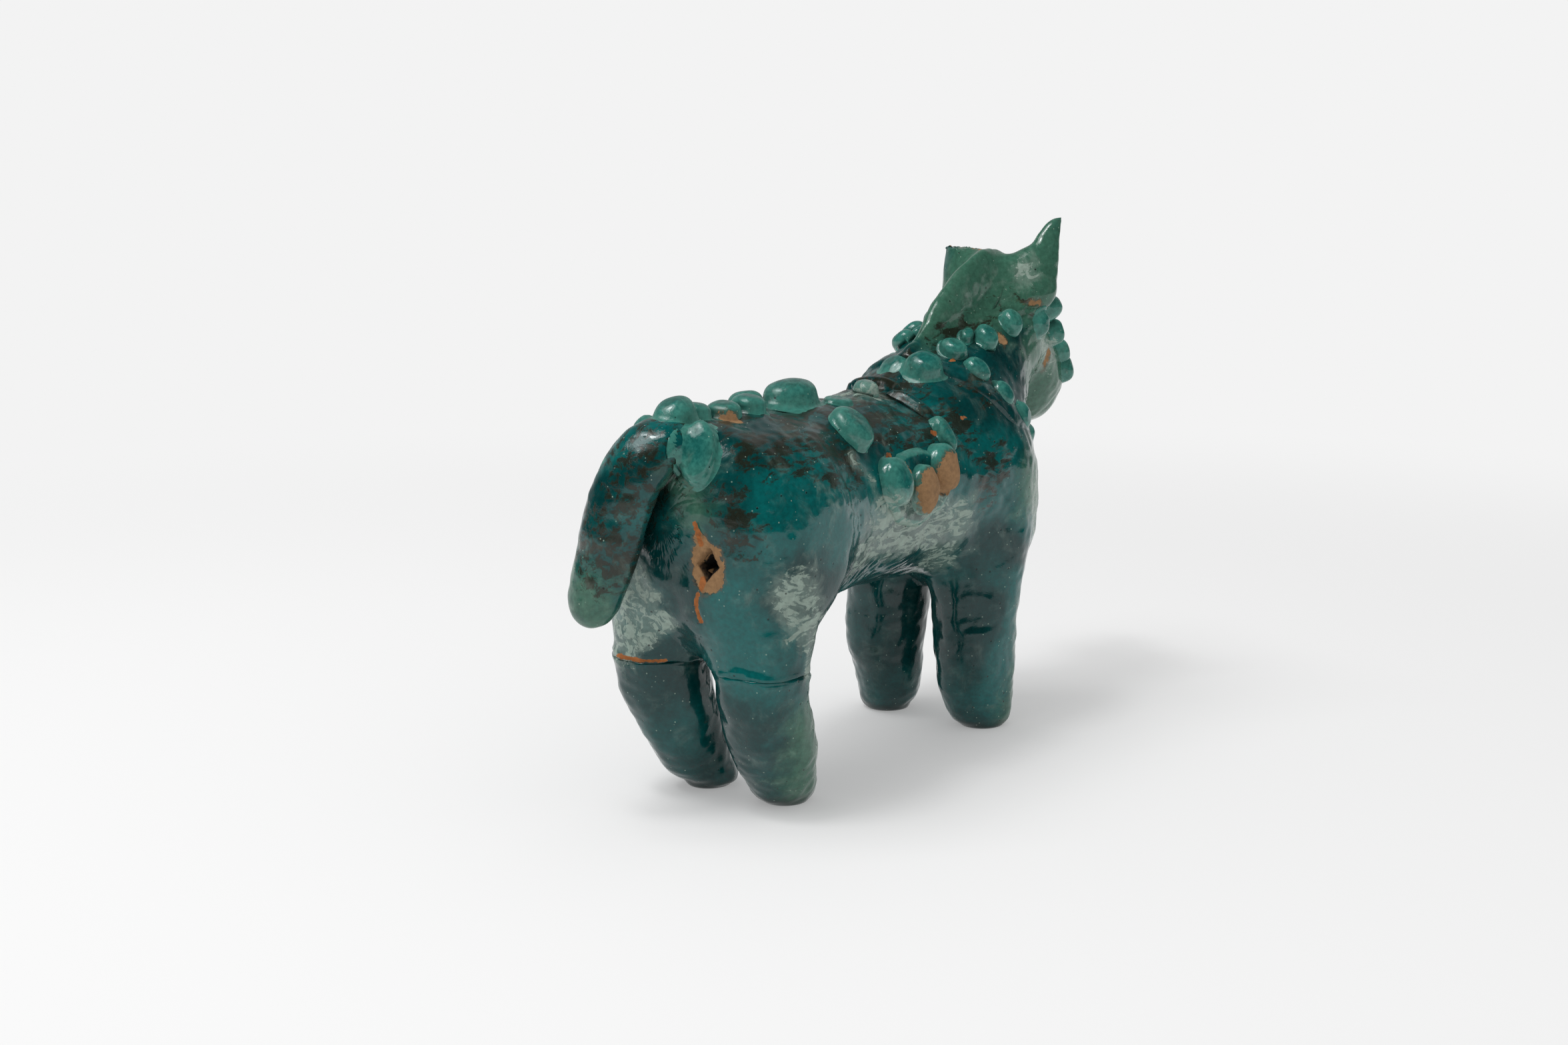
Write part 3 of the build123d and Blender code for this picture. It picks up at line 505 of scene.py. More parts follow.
# Grids to one closed mesh: rows of rings, with a pole or a flat cap at each end.
# A ringed grid has no ends: its last row joins its first.
def gridMesh(name, grids, rims, ringed):
    verts, faces, shares, base = [], [], [], 0
    for grid, rim in zip(grids, rims):
        rows, turns = grid.shape[:2]
        ids = base + np.arange(rows * turns).reshape(rows, turns)
        nextTurn = np.roll(ids, -1, axis=1)
        if ringed:
            ids, nextTurn = np.vstack([ids, ids[:1]]), np.vstack([nextTurn, nextTurn[:1]])
        quads = np.stack([ids[:-1], nextTurn[:-1], nextTurn[1:], ids[1:]], -1).reshape(-1, 4)
        points, caps, share = grid.reshape(-1, 3), np.zeros((0, 3), int), np.repeat(rim, turns)
        if not ringed:
            first, last = np.full(turns, base + rows * turns), np.full(turns, base + rows * turns + 1)
            caps = np.vstack([np.stack([first, nextTurn[0], ids[0]], -1), np.stack([last, ids[-1], nextTurn[-1]], -1)])
            points = np.vstack([points, grid[0].mean(0)[None], grid[-1].mean(0)[None]])
            share = np.append(share, [rim[0], rim[-1]])
        corners = np.vstack([quads[:, :3], quads[:, [0, 2, 3]], caps]) - base
        a, b, c = (points[corners[:, n]] for n in range(3))
        if (a * np.cross(b, c)).sum() < 0:
            quads, caps = quads[:, ::-1], caps[:, ::-1]
        verts.append(points)
        faces.append((quads, caps))
        shares.append(share)
        base += len(points)
    points = np.vstack(verts)
    loops = np.concatenate([np.concatenate([q.ravel(), t.ravel()]) for q, t in faces])
    sizes = np.concatenate([np.concatenate([np.full(len(q), 4), np.full(len(t), 3)]) for q, t in faces])
    mesh = bpy.data.meshes.new(name)
    mesh.vertices.add(len(points))
    mesh.vertices.foreach_set("co", ((points - np.array((middleOffset, 0, 0))) / 1000).astype(np.float32).ravel())
    mesh.loops.add(len(loops))
    mesh.loops.foreach_set("vertex_index", loops.astype(np.int32))
    mesh.polygons.add(len(sizes))
    mesh.polygons.foreach_set("loop_start", np.concatenate([[0], np.cumsum(sizes)[:-1]]).astype(np.int32))
    mesh.polygons.foreach_set("loop_total", sizes.astype(np.int32))
    mesh.polygons.foreach_set("use_smooth", np.ones(len(sizes), bool))
    mesh.update(calc_edges=True)
    mesh.validate()
    addMarks(mesh, points, np.concatenate(shares))
    piece = bpy.data.objects.new(name, mesh)
    bpy.context.collection.objects.link(piece)
    return piece


# Waves of the skin; none swells past the sides: y = from + give tanh((y - from) / give) beyond them
def waved(grid, amount):
    moves = relief(grid.reshape(-1, 3), amount).reshape(grid.shape[:2])
    grid = grid + gridNormals(grid) * moves[..., None]
    over = np.maximum(abs(grid[..., 1]) - sideLimit["from"], 0)
    grid[..., 1] += np.sign(grid[..., 1]) * (sideLimit["give"] * np.tanh(over / sideLimit["give"]) - over)
    return grid


# Gives a finished piece its waves and marks, its body, its nodes and its slot
def finish(name, grids, nodes, amount=1.0, rims=None, ringed=False):
    rims = rims or [np.zeros(len(grid)) for grid in grids]
    piece = gridMesh(name, [waved(grid, amount) for grid in grids], rims, ringed)
    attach(piece, "root")
    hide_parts(*nodes)
    glazeObjects.append(piece)
    return piece


# Seats for everything pressed on: hand is 1 on the animal's left and -1 on its right
left, up, forward = np.array((0, 1.0, 0)), np.array((0, 0, 1.0)), np.array((1.0, 0, 0))
neckWay = unit(np.array((46.0, 0, 44.0)))
onAxis = lambda part, along: np.array(part["axis"][0], float) + np.array(part["axis"][1], float) * along
seatsOn = lambda form, part, hand, places: [seatAt(form, onAxis(part, along), hand * turn) for along, turn in places]
barrelSeats = lambda hand, *places: seatsOn(barrelForm, barrel, hand, places)
neckSeats = lambda hand, *places: seatsOn(neckForm, neck, hand, places)
faceSeats = lambda hand, *places: seatsOn(faceForm, head, hand, places)
bossPlaces = ((0.364, 0.113), (0.418, 0.210), (0.498, 0.232), (0.567, 0.203))

# Knocked bosses of the right side: place, way from the seat to the bare spot and radius in mm
knocks = (
    (bossPlaces[2], (0.5, -5, 0.5), 7.4), (bossPlaces[3], (0, -5, -1), 7.4), (bossPlaces[1], (5, -5, 6), 2.2),
)
for place, offset, radius in knocks:
    centre = barrelSeats(-1, place)[0][0] + np.array(offset)
    marks["clay"].append((tuple(centre), tuple(centre + np.array((0, 0, -1))), radius))

# Body, legs, neck and head, each welded to the neighbours that it runs into; mm of fillet
bodyWelds = [
    (thighForms["Left"], 14), (thighForms["Right"], 14), (foreForms["Left"], 10), (foreForms["Right"], 10),
    (neckForm, 14), (tailForm, 3), (maneForm, 8),
]
barrelSkin = weld(gridOf(barrelForm, 250, 260), barrelForm, bodyWelds)
thighSkins = [
    weld(gridOf(thighForms["Left"], 90, 120), thighForms["Left"], [(barrelForm, 14), (thighForms["Right"], 7)]),
    weld(gridOf(thighForms["Right"], 90, 120), thighForms["Right"], [(barrelForm, 14), (thighForms["Left"], 7)]),
]
finish("bodySkin", [barrelSkin, *thighSkins], ["body_shell"])
for hand in ("Left", "Right"):
    finish("hindLeg" + hand, [gridOf(hindForms[hand], 90, 120)], ["hind_leg_" + hand.lower()])
    foreSkin = weld(gridOf(foreForms[hand], 140, 120), foreForms[hand], [(barrelForm, 10)])
    finish("foreLeg" + hand, [foreSkin], ["foreleg_" + hand.lower()])
neckWelds = [
    (barrelForm, 14), (faceForm, 8), (jawForm, 6), (maneForm, 6), (earForms["Right"], 4), (earForms["Left"], 4),
]
finish("neckSkin", [weld(gridOf(neckForm, 120, 200), neckForm, neckWelds)], ["neck_tube"])


# Grid over a ball, from its back pole to its front pole
def ballGrid(form, rings, turns):
    a = np.linspace(0.02, np.pi - 0.02, rings)[:, None]
    b = np.linspace(0, 2 * np.pi, turns, endpoint=False)
    local = np.stack([-np.cos(a) * np.ones_like(b), np.sin(a) * np.cos(b), np.sin(a) * np.sin(b)], -1)
    sizes = 1 / (form["axes"] ** 2).sum(-1)
    return form["ball"] + local @ (form["axes"] * sizes[:, None])


earPair = [(earForms["Right"], 7), (earForms["Left"], 7)]
faceSkin = weld(gridOf(faceForm, 110, 160), faceForm, [(neckForm, 8), (jawForm, 8), (maneForm, 7), *earPair])
jawSkin = weld(ballGrid(jawForm, 90, 140), jawForm, [(faceForm, 8), (neckForm, 6)])
finish("headSkin", [faceSkin, jawSkin], ["head_shell"], 0.8)
maneWelds = [(neckForm, 6), (faceForm, 7), (earForms["Right"], 9), (earForms["Left"], 6), (barrelForm, 8)]
finish("maneCrest", [weld(gridOf(maneForm, 150, 150), maneForm, maneWelds)], ["mane_crest"], 0.6)
for hand, name, node in (("Right", "earRight", "ear_right"), ("Left", "earLeftStub", "ear_left_stub")):
    earSkin = weld(gridOf(earForms[hand], 130, 120), earForms[hand], [(faceForm, 7), (maneForm, 9), (neckForm, 4)])
    if hand == "Left":      # snapped off, with a rough top
        rough = waves(earSkin.reshape(-1, 3) * 2, quickWaves).reshape(earSkin.shape[:2])
        top = ear["breakHeight"] + ear["breakRough"] * rough
        earSkin[..., 2] = np.minimum(earSkin[..., 2], np.minimum(top, ear["breakTop"]))
    finish(name, [earSkin], [node], 0.5)
finish("tailRoll", [weld(gridOf(tailForm, 170, 120), tailForm, [(barrelForm, 3)])], ["tail"], 0.7)
print("main forms built")

# The mouth: a short spout with a lip, turned round the line of the head
mouth = {"back": 8, "reach": 27, "bore": 5.5, "outer": 9.5, "lip": 11.0, "drop": 2, "boreEnd": 13}


# Rings of a profile turned round a line: distance along it and radius
def latheGrid(centre, way, profile, turns=90):
    side = unit(np.cross((0, 0, 1), way))
    upward = np.cross(way, side)
    angle = np.linspace(0, 2 * np.pi, turns, endpoint=False)
    along, radius = np.array(profile, float).T
    ring = side * np.cos(angle)[:, None] + upward * np.sin(angle)[:, None]
    return np.array(centre, float) + along[:, None, None] * way + radius[:, None, None] * ring[None]


spoutProfile = [
    (mouth["back"], 7), (mouth["back"] + 2, mouth["outer"]), (18, mouth["outer"]), (22, mouth["outer"]),
    (24, mouth["outer"] + 0.3), (25.3, mouth["lip"] - 0.2), (26.2, mouth["lip"]), (mouth["reach"], mouth["lip"] - 1.2),
    (27, 8.4), (26.4, 6.6), (25, mouth["bore"]), (20, mouth["bore"]), (mouth["boreEnd"], mouth["bore"] - 0.2),
    (mouth["boreEnd"] - 1, 3),
]
spoutLine = through(np.linspace(0, 1, len(spoutProfile)), spoutProfile, np.linspace(0, 1, 90), held=True)
mouthCentre = np.array(head["jaw"]["centre"]) - np.array((0, 0, mouth["drop"]))
finish("mouthSpout", [latheGrid(mouthCentre, headWay, spoutLine)], ["mouth_spout"], 0.2)


# Skin of the carriers: the first one softly joined to the others
def carrierField(carriers, p):
    total = nearDistance(carriers[0][0], p, 30)
    for form, k in carriers[1:]:
        total = soft(total, nearDistance(form, p, k + 8), k)
    return total


# A pressed lump: a dome found by coming down on the joined skin of the lump and what carries it.
# Its middle is dimpled a little, as a fingertip leaves it, and its foot is sunk. The rim share grows outward.
lumpFoot = {"sink": 0.35, "below": 1.5, "inward": 0.4}


def dome(seat, lie, size, carriers, k=1.3, rings=24, turns=48, dimple=0.5):
    point, outward = seat
    half = np.array(size, float) / 2
    e1 = np.array(lie, float)
    e1 = unit(e1 - (e1 @ outward) * outward)
    e2 = np.cross(outward, e1)
    lump = ballForm(point + outward * half[2] / 2, half, e1, e2)
    share = np.linspace(0.02, 1, rings)[:, None]
    angle = np.linspace(0, 2 * np.pi, turns, endpoint=False)
    reach = half[0] + k * 1.1, half[1] + k * 1.1
    across = e1 * (share * reach[0] * np.cos(angle))[..., None] + e2 * (share * reach[1] * np.sin(angle))[..., None]
    base = (point + across).reshape(-1, 3)
    height = np.full(len(base), half[2] * 1.55 + 0.5)
    for step in range(20):
        p = base + outward * height[:, None]
        here = soft(distance(lump, p), carrierField(carriers, p), k)
        height = height - np.clip(here, -1.0, 3.0) * 0.95
    edge = rampUp(share * np.ones_like(angle), 0.9, 1.0).ravel()
    dent = dimple * np.exp(-(share * np.ones_like(angle) / 0.38) ** 2).ravel()
    top = (base + outward * (height - edge * lumpFoot["sink"] - dent)[:, None]).reshape(rings, turns, 3)
    rim = np.append(0.56 + 0.44 * share[:, 0] ** 2, [1, 1])
    return footed(top, point, outward, lumpFoot["below"]), rim


# Closes a dome's rings with a foot hidden below them
def footed(top, point, outward, below):
    under = top[-1:] - outward * below
    middle = point - outward * lumpFoot["below"]
    return np.concatenate([top, under, under * (1 - lumpFoot["inward"]) + middle * lumpFoot["inward"]])


def pressed(name, nodes, seats, lie, size, carriers, amount=0.6, **shape):
    domes = [dome(seat, lie, size, carriers, **shape) for seat in seats]
    finish(name, [grid for grid, rim in domes], nodes, amount, [rim for grid, rim in domes])


onBack = [(barrelForm, 0)]
onRump = [(barrelForm, 0), (tailForm, 3)]
onNeck = [(neckForm, 0), (barrelForm, 14), (maneForm, 6)]
onHead = [(faceForm, 0), (jawForm, 8), (neckForm, 8), (maneForm, 7), *earPair]

# Lumps along the spine. A place is a share of the barrel's axis and of a turn from the top to the left;
# a size is length along its lie, width and height in mm.
spineLumps = {
    "tailRootPellet": {"node": "tail_root_pellet", "places": ((0.048, 0.003),), "size": (15.5, 13, 12)},
    "spinePellets": {
        "node": "spine_pellets", "places": ((0.097, 0.008), (0.150, 0.992), (0.208, 0.985), (0.268, 0.028)),
        "lie": left, "size": (12, 10.5, 7),
    },
    "backBoss": {"node": "back_boss", "places": ((0.357, 0.006),), "size": (21, 17, 11.5), "fillet": 5},
    "loinPellet": {"node": "loin_pellet", "places": ((0.442, 0.968),), "size": (11, 9, 2.6)},
    "pommelPellet": {"node": "pommel_pellet", "places": ((0.551, 0.981),), "size": (8.5, 8, 7)},
}
for name, lump in spineLumps.items():
    seats, carriers = barrelSeats(1, *lump["places"]), onRump if name == "tailRootPellet" else onBack
    pressed(name, [lump["node"]], seats, lump.get("lie", forward), lump["size"], carriers, k=lump.get("fillet", 1.3))

# Both sides: crupper, saddle, collar and bridle
crupper = {"place": (0.027, 0.072), "size": (20, 10.5, 6), "fillet": 2.5}
saddleBosses = {"places": bossPlaces, "size": (17, 14, 9)}
saddleStrap = {"place": (0.606, 0.149), "size": (14, 6.5, 6.5)}
saddleFlap = {
    "place": (0.495, 0.228), "length": 38, "width": 26, "thickness": 1.8, "rings": 40, "turns": 150,
    "lobes": 4.5, "lobeDepth": 0.05, "below": 1.2,
}
collar = {
    "bossSizes": {"Left": (10, 9, 6), "Right": (14, 13, 11)}, "bossFillet": 2.5,
    "bossPlaces": {"Left": (0.100, 0.020), "Right": (0.095, 0.043)},
    "places": {
        "Left": ((0.438, 0.097), (0.422, 0.188), (0.400, 0.270), (0.360, 0.345)),
        "Right": ((0.345, 0.064), (0.272, 0.126), (0.255, 0.190), (0.290, 0.261), (0.300, 0.335)),
    },
    "size": (10.5, 8.5, 7.5), "tilt": 0.4,
}
bridle = {
    "neckPlaces": ((0.552, 0.108), (0.785, 0.144)), "facePlaces": ((0.165, 0.275), (0.505, 0.185), (0.765, 0.174)),
    "jawSpoke": (0.10, 0.95, 0.27), "size": (10.5, 8, 8), "linkPlace": (0.510, 0.068), "linkSize": (6.5, 5, 5),
}
eyeball = {"place": (0.290, 0.167), "size": (10, 9.5, 11.5)}


# The flap: a thin patch with a scalloped rim, laid on the skin of the barrel
def flapGrid(hand):
    rings, turns = saddleFlap["rings"], saddleFlap["turns"]
    point, outward = barrelSeats(hand, saddleFlap["place"])[0]
    e1 = unit(forward - (forward @ outward) * outward)
    e2 = np.cross(outward, e1)
    share = np.linspace(0.02, 1.06, rings)[:, None]
    angle = np.linspace(0, 2 * np.pi, turns, endpoint=False)
    scallop = 1 - saddleFlap["lobeDepth"] * abs(np.sin(angle * saddleFlap["lobes"] + 0.6)) ** 0.7
    along, over = (share * saddleFlap[side] / 2 * scallop for side in ("length", "width"))
    base = (point + e1 * (along * np.cos(angle))[..., None] + e2 * (over * np.sin(angle))[..., None]).reshape(-1, 3)
    height = np.full(len(base), 6.0)
    for step in range(14):
        height = height - np.clip(distance(barrelForm, base + outward * height[:, None]), -1, 3)
    edge = np.sqrt(np.clip(1.06 - share, 0, 0.12) / 0.12) * np.ones_like(angle)
    rise = saddleFlap["thickness"] * (edge * (0.55 + 0.45 * rampUp(share, 0.55, 0.92)) - 0.25 * (1 - edge))
    top = (base + outward * height[:, None]).reshape(rings, turns, 3) + outward * rise[..., None]
    rim = np.append(rampUp(share[:, 0], 0.80, 0.96), [1, 1])
    return footed(top, point, outward, saddleFlap["below"]), rim


for word, hand in (("Left", 1), ("Right", -1)):
    low, outer = word.lower(), left * hand
    seats = barrelSeats(hand, crupper["place"])
    pressed("crupper" + word, ["crupper_" + low], seats, up, crupper["size"], onRump, k=crupper["fillet"])
    flap, rim = flapGrid(hand)
    finish("saddleFlap" + word, [flap], ["saddle_flap_" + low], 0.8, [rim])
    seats = barrelSeats(hand, *saddleBosses["places"])
    pressed("saddleBosses" + word, ["saddle_bosses_" + low], seats, outer - up, saddleBosses["size"], onBack)
    seats = barrelSeats(hand, saddleStrap["place"])
    pressed("saddleStrap" + word, ["saddle_strap_" + low], seats, outer - up, saddleStrap["size"], onBack)
    seats, size = neckSeats(hand, collar["bossPlaces"][word]), collar["bossSizes"][word]
    pressed("collarBoss" + word, ["collar_boss_" + low], seats, forward + outer, size, onNeck, k=collar["bossFillet"])
    seats, lie = neckSeats(hand, *collar["places"][word]), up - forward * collar["tilt"]
    pressed("collarPellets" + word, ["collar_pellets_" + low], seats, lie, collar["size"], onNeck)
    seats = neckSeats(hand, *bridle["neckPlaces"]) + faceSeats(hand, *bridle["facePlaces"])
    ahead, aside, above = np.array(bridle["jawSpoke"]) * head["jaw"]["halves"]
    spoke = headWay * ahead + up * above + headLeft * hand * aside
    seats.append(seatNear(jawForm, np.array(head["jaw"]["centre"]) + spoke))
    domes = [dome(seat, up, bridle["size"], onNeck if n < 2 else onHead) for n, seat in enumerate(seats)]
    finish("bridlePellets" + word, [g for g, r in domes], ["bridle_pellets_" + low], 0.6, [r for g, r in domes])
    seats = neckSeats(hand, bridle["linkPlace"])
    pressed("bridleLink" + word, ["bridle_link_" + low], seats, neckWay, bridle["linkSize"], onNeck)
    pressed("eye" + word, ["eye_" + low], faceSeats(hand, eyeball["place"]), headWay, eyeball["size"], onHead, 0.3)

# Rolls of the pommel: each is a ring form on the back, rounded at its ends
pommel = {
    "places": (
        ((0.598, 0.040), (0.612, 0.020), (0.628, -0.005), (0.636, -0.030)),
        ((0.604, -0.034), (0.606, -0.072), (0.612, -0.110)),
    ),
    "widths": (8.5, 6.0), "fillet": 2.5,
}
rollSkins = []
for places, width in zip(pommel["places"], pommel["widths"]):
    points = np.array([seat[0] for seat in barrelSeats(1, *places)])
    line = through(np.linspace(0, 1, len(points)), points, np.linspace(-0.06, 1.06, 9))
    radii = width / 2 * np.array((0, 0.75, 0.95, 1, 1, 1, 0.95, 0.75, 0))
    rollForm = ringForm([(*p, r, r * 0.9, r * 0.9) for p, r in zip(line, radii)], side=(0, 0, 1), stations=50)
    rollSkins.append(weld(gridOf(rollForm, 100, 60), rollForm, [(barrelForm, pommel["fillet"])]))
finish("saddlePommel", rollSkins, ["saddle_pommel"], 0.6)

# Collar band: a low swelling right round the neck with a rounded lower edge; it ends inside the barrel
band = {
    "middle": 0.24, "width": 18, "rise": 1.5, "sunk": 1.4, "leastSunk": 1.3, "thickness": 2.4, "rows": 34, "turns": 240,
}
angle = 2 * np.pi * np.linspace(0, 1, band["turns"], endpoint=False)
bandShares = np.linspace(-0.5, 0.5, band["rows"])
bandSpan = band["width"] / np.linalg.norm(neck["axis"][1])
neckArc = (neckForm["centre"] - neckForm["centre"][0]) @ neckForm["way"][0]
bandCentres = np.array([onAxis(neck, band["middle"] + share * bandSpan) for share in bandShares])
at = (bandCentres - neckForm["centre"][0]) @ neckForm["way"][0]
half, top, bottom = (np.interp(at, neckArc, neckForm["radii"][:, c])[:, None] for c in range(3))
rise = np.where(np.cos(angle) > 0, top, bottom) * np.cos(angle)
bandGrid = bandCentres[:, None] + neckForm["side"][0] * (half * np.sin(angle))[..., None]
bandGrid = bandGrid + neckForm["up"][0] * rise[..., None]
bandOut = gridNormals(bandGrid)
outside = rampUp(nearDistance(barrelForm, bandGrid.reshape(-1, 3), 8), -3, 2).reshape(bandGrid.shape[:2])
bandGrid = weld(bandGrid, neckForm, [(barrelForm, 14), (maneForm, 6)])
profile = rampUp(bandShares, -0.5, -0.36) * (1 - rampUp(bandShares, -0.2, 0.5))
swell = (band["rise"] + band["sunk"]) * profile[:, None] * outside - band["sunk"]
outerBand = bandGrid + bandOut * np.maximum(swell, -band["leastSunk"])[..., None]
innerBand = (bandGrid - bandOut * band["thickness"])[::-1]
finish("collarBand", [np.concatenate([outerBand, innerBand])], ["collar_band"], ringed=True)
print("trappings built")


# Colours: sRGB hex to the linear values that shaders take
def colour(hexValue):
    parts = [int(hexValue[n:n + 2], 16) / 255 for n in (0, 2, 4)]
    return tuple(p / 12.92 if p <= 0.04045 else ((p + 0.055) / 1.055) ** 2.4 for p in parts) + (1.0,)


# Adds one node with its settings and links; inputs are named, or i0, i1 and so on by place
def addNode(tree, kind, settings=None, **inputs):
    node = tree.nodes.new(kind)
    for name, value in (settings or {}).items():
        setattr(node, name, value)
    for name, value in inputs.items():
        socket = node.inputs[int(name[1:]) if name[1:].isdigit() else name]
        if isinstance(value, bpy.types.NodeSocket):
            tree.links.new(value, socket)
        else:
            socket.default_value = value
    return node


# Copper glaze on fired clay: a thick glossy alkaline glaze, poured over a rough red-brown body and fired.
# It gives deep teal where it pools, greener and paler skin where it is thin, and bare clay where it chipped.
glazeLook = {
    "deep": "013535", "turquoise": "035c5a", "sage": "3f6a56", "brown": "221f10", "mist": "92a498",
    "rim": "458477", "pellet": "1f6f66", "clay": "92704c", "clayDark": "5e3f24", "chip": "a0602f",
    # the hole colour is painted shade: near black for the dark hollow inside the kiln hole
    "poolAndCreviceShade": "041a17", "speck": "9fb5a4", "pit": "0c1815", "hole": "060402",
    "smoothest": 0.07, "roughnessSpread": 0.10, "ior": 1.55, "specular": 0.4, "crevice": 0.0055,
    "grit": (0.78, 1.18), "bump": 0.0005, "bumpStrength": 0.4,
}
glaze = bpy.data.materials.new("Copper glaze on fired clay")
glaze.use_nodes = True
tree = glaze.node_tree
shader = tree.nodes["Principled BSDF"]
place = addNode(tree, "ShaderNodeTexCoord").outputs["Object"]
perMetre = lambda mm: 1000 / mm      # noise scale whose features are so many mm wide
# Fine mottles and flakes are drawn out along the body, tilted a little
drawn = addNode(tree, "ShaderNodeMapping", i0=place, Rotation=(0.25, -0.38, 0.0), Scale=(0.38, 1.0, 1.0)).outputs[0]
maths, ramp, smooth = "ShaderNodeMath", "ShaderNodeMapRange", {"interpolation_type": "SMOOTHSTEP"}
times, plus, minus, timesPlus, above = (
    {"operation": name} for name in ("MULTIPLY", "ADD", "SUBTRACT", "MULTIPLY_ADD", "GREATER_THAN")
)

# Patterns: coordinates, width in mm, detail, roughness and distortion
patterns = {}
for name, coords, mm, detail, rough, twist in (
    ("cloud", place, 26, 4, 0.55, 0.4), ("blotch", place, 8, 6, 0.62, 0.5), ("grain", place, 1.6, 3, 0.6, 0),
    ("chips", place, 2.8, 4, 0.6, 0.6), ("streak", drawn, 3.4, 8, 0.72, 0.5), ("flake", drawn, 3.6, 7, 0.66, 1.2),
    ("fine", place, 0.5, 2, 0.5, 0),
):
    noise = addNode(tree, "ShaderNodeTexNoise", Vector=coords, Scale=perMetre(mm), Detail=detail, Roughness=rough)
    noise.inputs["Distortion"].default_value = twist
    patterns[name] = noise.outputs["Fac"]

# Masks from 0 to 1: a mark's depth in mm, pushed about by a pattern, over a soft edge from low to high
masks = {}
for name, group, pattern, push, low, high in (
    ("bright", "bright", "cloud", 26, -8, 8), ("sage", "sage", "blotch", 22, -8, 6),
    ("brownZone", "brown", "cloud", 12, -7, 5), ("wornZone", "worn", "blotch", 12, -5, 3),
    ("clay", "clay", "chips", 5.0, -0.12, 0.12), ("clayRim", "clay", "chips", 5.0, -1.3, 0.1),
    ("crack", "crack", "chips", 2.2, -0.12, 0.12), ("hole", "hole", "grain", 0.1, -0.05, 0.06),
    ("rim", "rim", "grain", 0.25, 0.52, 0.8), ("pellet", "rim", "grain", 0.1, 0.30, 0.50),
):
    depth = addNode(tree, "ShaderNodeAttribute", {"attribute_name": group}).outputs["Fac"]
    centred = addNode(tree, maths, minus, i0=patterns[pattern], i1=0.5).outputs[0]
    pushed = addNode(tree, maths, timesPlus, i0=centred, i1=push, i2=depth).outputs[0]
    masks[name] = addNode(tree, ramp, smooth, i0=pushed, i1=low, i2=high).outputs[0]

# Patterns cut by a level that falls from bare to inside where a zone is, over a width: mottles and flakes
for name, pattern, zone, bare, inside, width in (
    ("brown", "streak", "brownZone", 0.70, 0.485, 0.05), ("worn", "flake", "wornZone", 0.76, 0.50, 0.04),
    ("film", "blotch", "wornZone", 0.72, 0.36, 0.22), ("cloudy", "cloud", "bright", 0.62, 0.34, 0.24),
):
    cut = addNode(tree, ramp, i0=masks[zone], i3=bare, i4=inside).outputs[0]
    over = addNode(tree, maths, minus, i0=patterns[pattern], i1=cut).outputs[0]
    masks[name] = addNode(tree, ramp, smooth, i0=over, i1=-width, i2=width).outputs[0]

# Pits and specks: round cells of which some are picked by their random colour
for name, mm, radius, picked in (("pit", 3.4, 0.13, 0.72), ("speck", 1.9, 0.16, 0.80)):
    cells = addNode(tree, "ShaderNodeTexVoronoi", Vector=place, Scale=perMetre(mm), Randomness=1.0)
    chance = addNode(tree, "ShaderNodeSeparateColor", i0=cells.outputs["Color"]).outputs[0]
    some = addNode(tree, maths, above, i0=chance, i1=picked).outputs[0]
    disc = addNode(tree, ramp, i0=cells.outputs["Distance"], i1=radius, i2=radius * 0.6).outputs[0]
    masks[name] = addNode(tree, maths, times, i0=disc, i1=some).outputs[0]

# Crevices: painted shade darkens them by ambient occlusion within 5.5 mm, and the same dark teal stands for thick glaze
# and dirt gathered there
hollows = addNode(tree, "ShaderNodeAmbientOcclusion", {"samples": 6}, Distance=glazeLook["crevice"]).outputs["AO"]
masks["poolAndCreviceShade"] = addNode(tree, ramp, smooth, i0=hollows, i1=0.80, i2=0.35).outputs[0]

# Layers laid over the deep glaze in turn: mask, colour and strength
shade = addNode(tree, "ShaderNodeRGB").outputs[0]
shade.default_value = colour(glazeLook["deep"])
for mask, paint, strength in (
    ("cloudy", "turquoise", 0.95), ("sage", "sage", 0.85), ("brown", "brown", 0.86), ("pellet", "pellet", 0.55),
    # the crevice layer is painted shade by occlusion, together with thick glaze pooled in the creases
    ("rim", "rim", 0.70), ("film", "mist", 0.34), ("worn", "mist", 0.82), ("poolAndCreviceShade", "poolAndCreviceShade", 0.72),
    ("speck", "speck", 0.55), ("pit", "pit", 0.85), ("clayRim", "clayDark", 0.55), ("clay", "clay", 1.0),
    # the hole layer paints the sunk pocket of the kiln hole near black as the shade of the hollow inside
    ("crack", "chip", 1.0), ("hole", "hole", 1.0),
):
    amount = addNode(tree, maths, times, i0=masks[mask], i1=strength).outputs[0]
    paint = colour(glazeLook[paint])
    shade = addNode(tree, "ShaderNodeMix", {"data_type": "RGBA"}, i0=amount, i6=shade, i7=paint).outputs[2]
low, high = glazeLook["grit"]
grit = addNode(tree, ramp, i0=patterns["grain"], i1=0.3, i2=0.7, i3=low, i4=high).outputs[0]
shade = addNode(tree, "ShaderNodeVectorMath", {"operation": "SCALE"}, i0=shade, Scale=grit).outputs[0]
tree.links.new(shade, shader.inputs["Base Color"])

# Roughness: glossy glaze, duller film and mottles, dry clay
spread, smoothest = glazeLook["roughnessSpread"], glazeLook["smoothest"]
gloss = addNode(tree, maths, timesPlus, i0=patterns["blotch"], i1=spread, i2=smoothest).outputs[0]
for mask, rough in (
    ("brown", 0.26), ("film", 0.22), ("worn", 0.34), ("clay", 0.85), ("crack", 0.85), ("hole", 0.95),
):
    gloss = addNode(tree, "ShaderNodeMix", i0=masks[mask], i2=gloss, i3=rough).outputs[0]
tree.links.new(gloss, shader.inputs["Roughness"])
shader.inputs["IOR"].default_value = glazeLook["ior"]
shader.inputs["Specular IOR Level"].default_value = glazeLook["specular"]

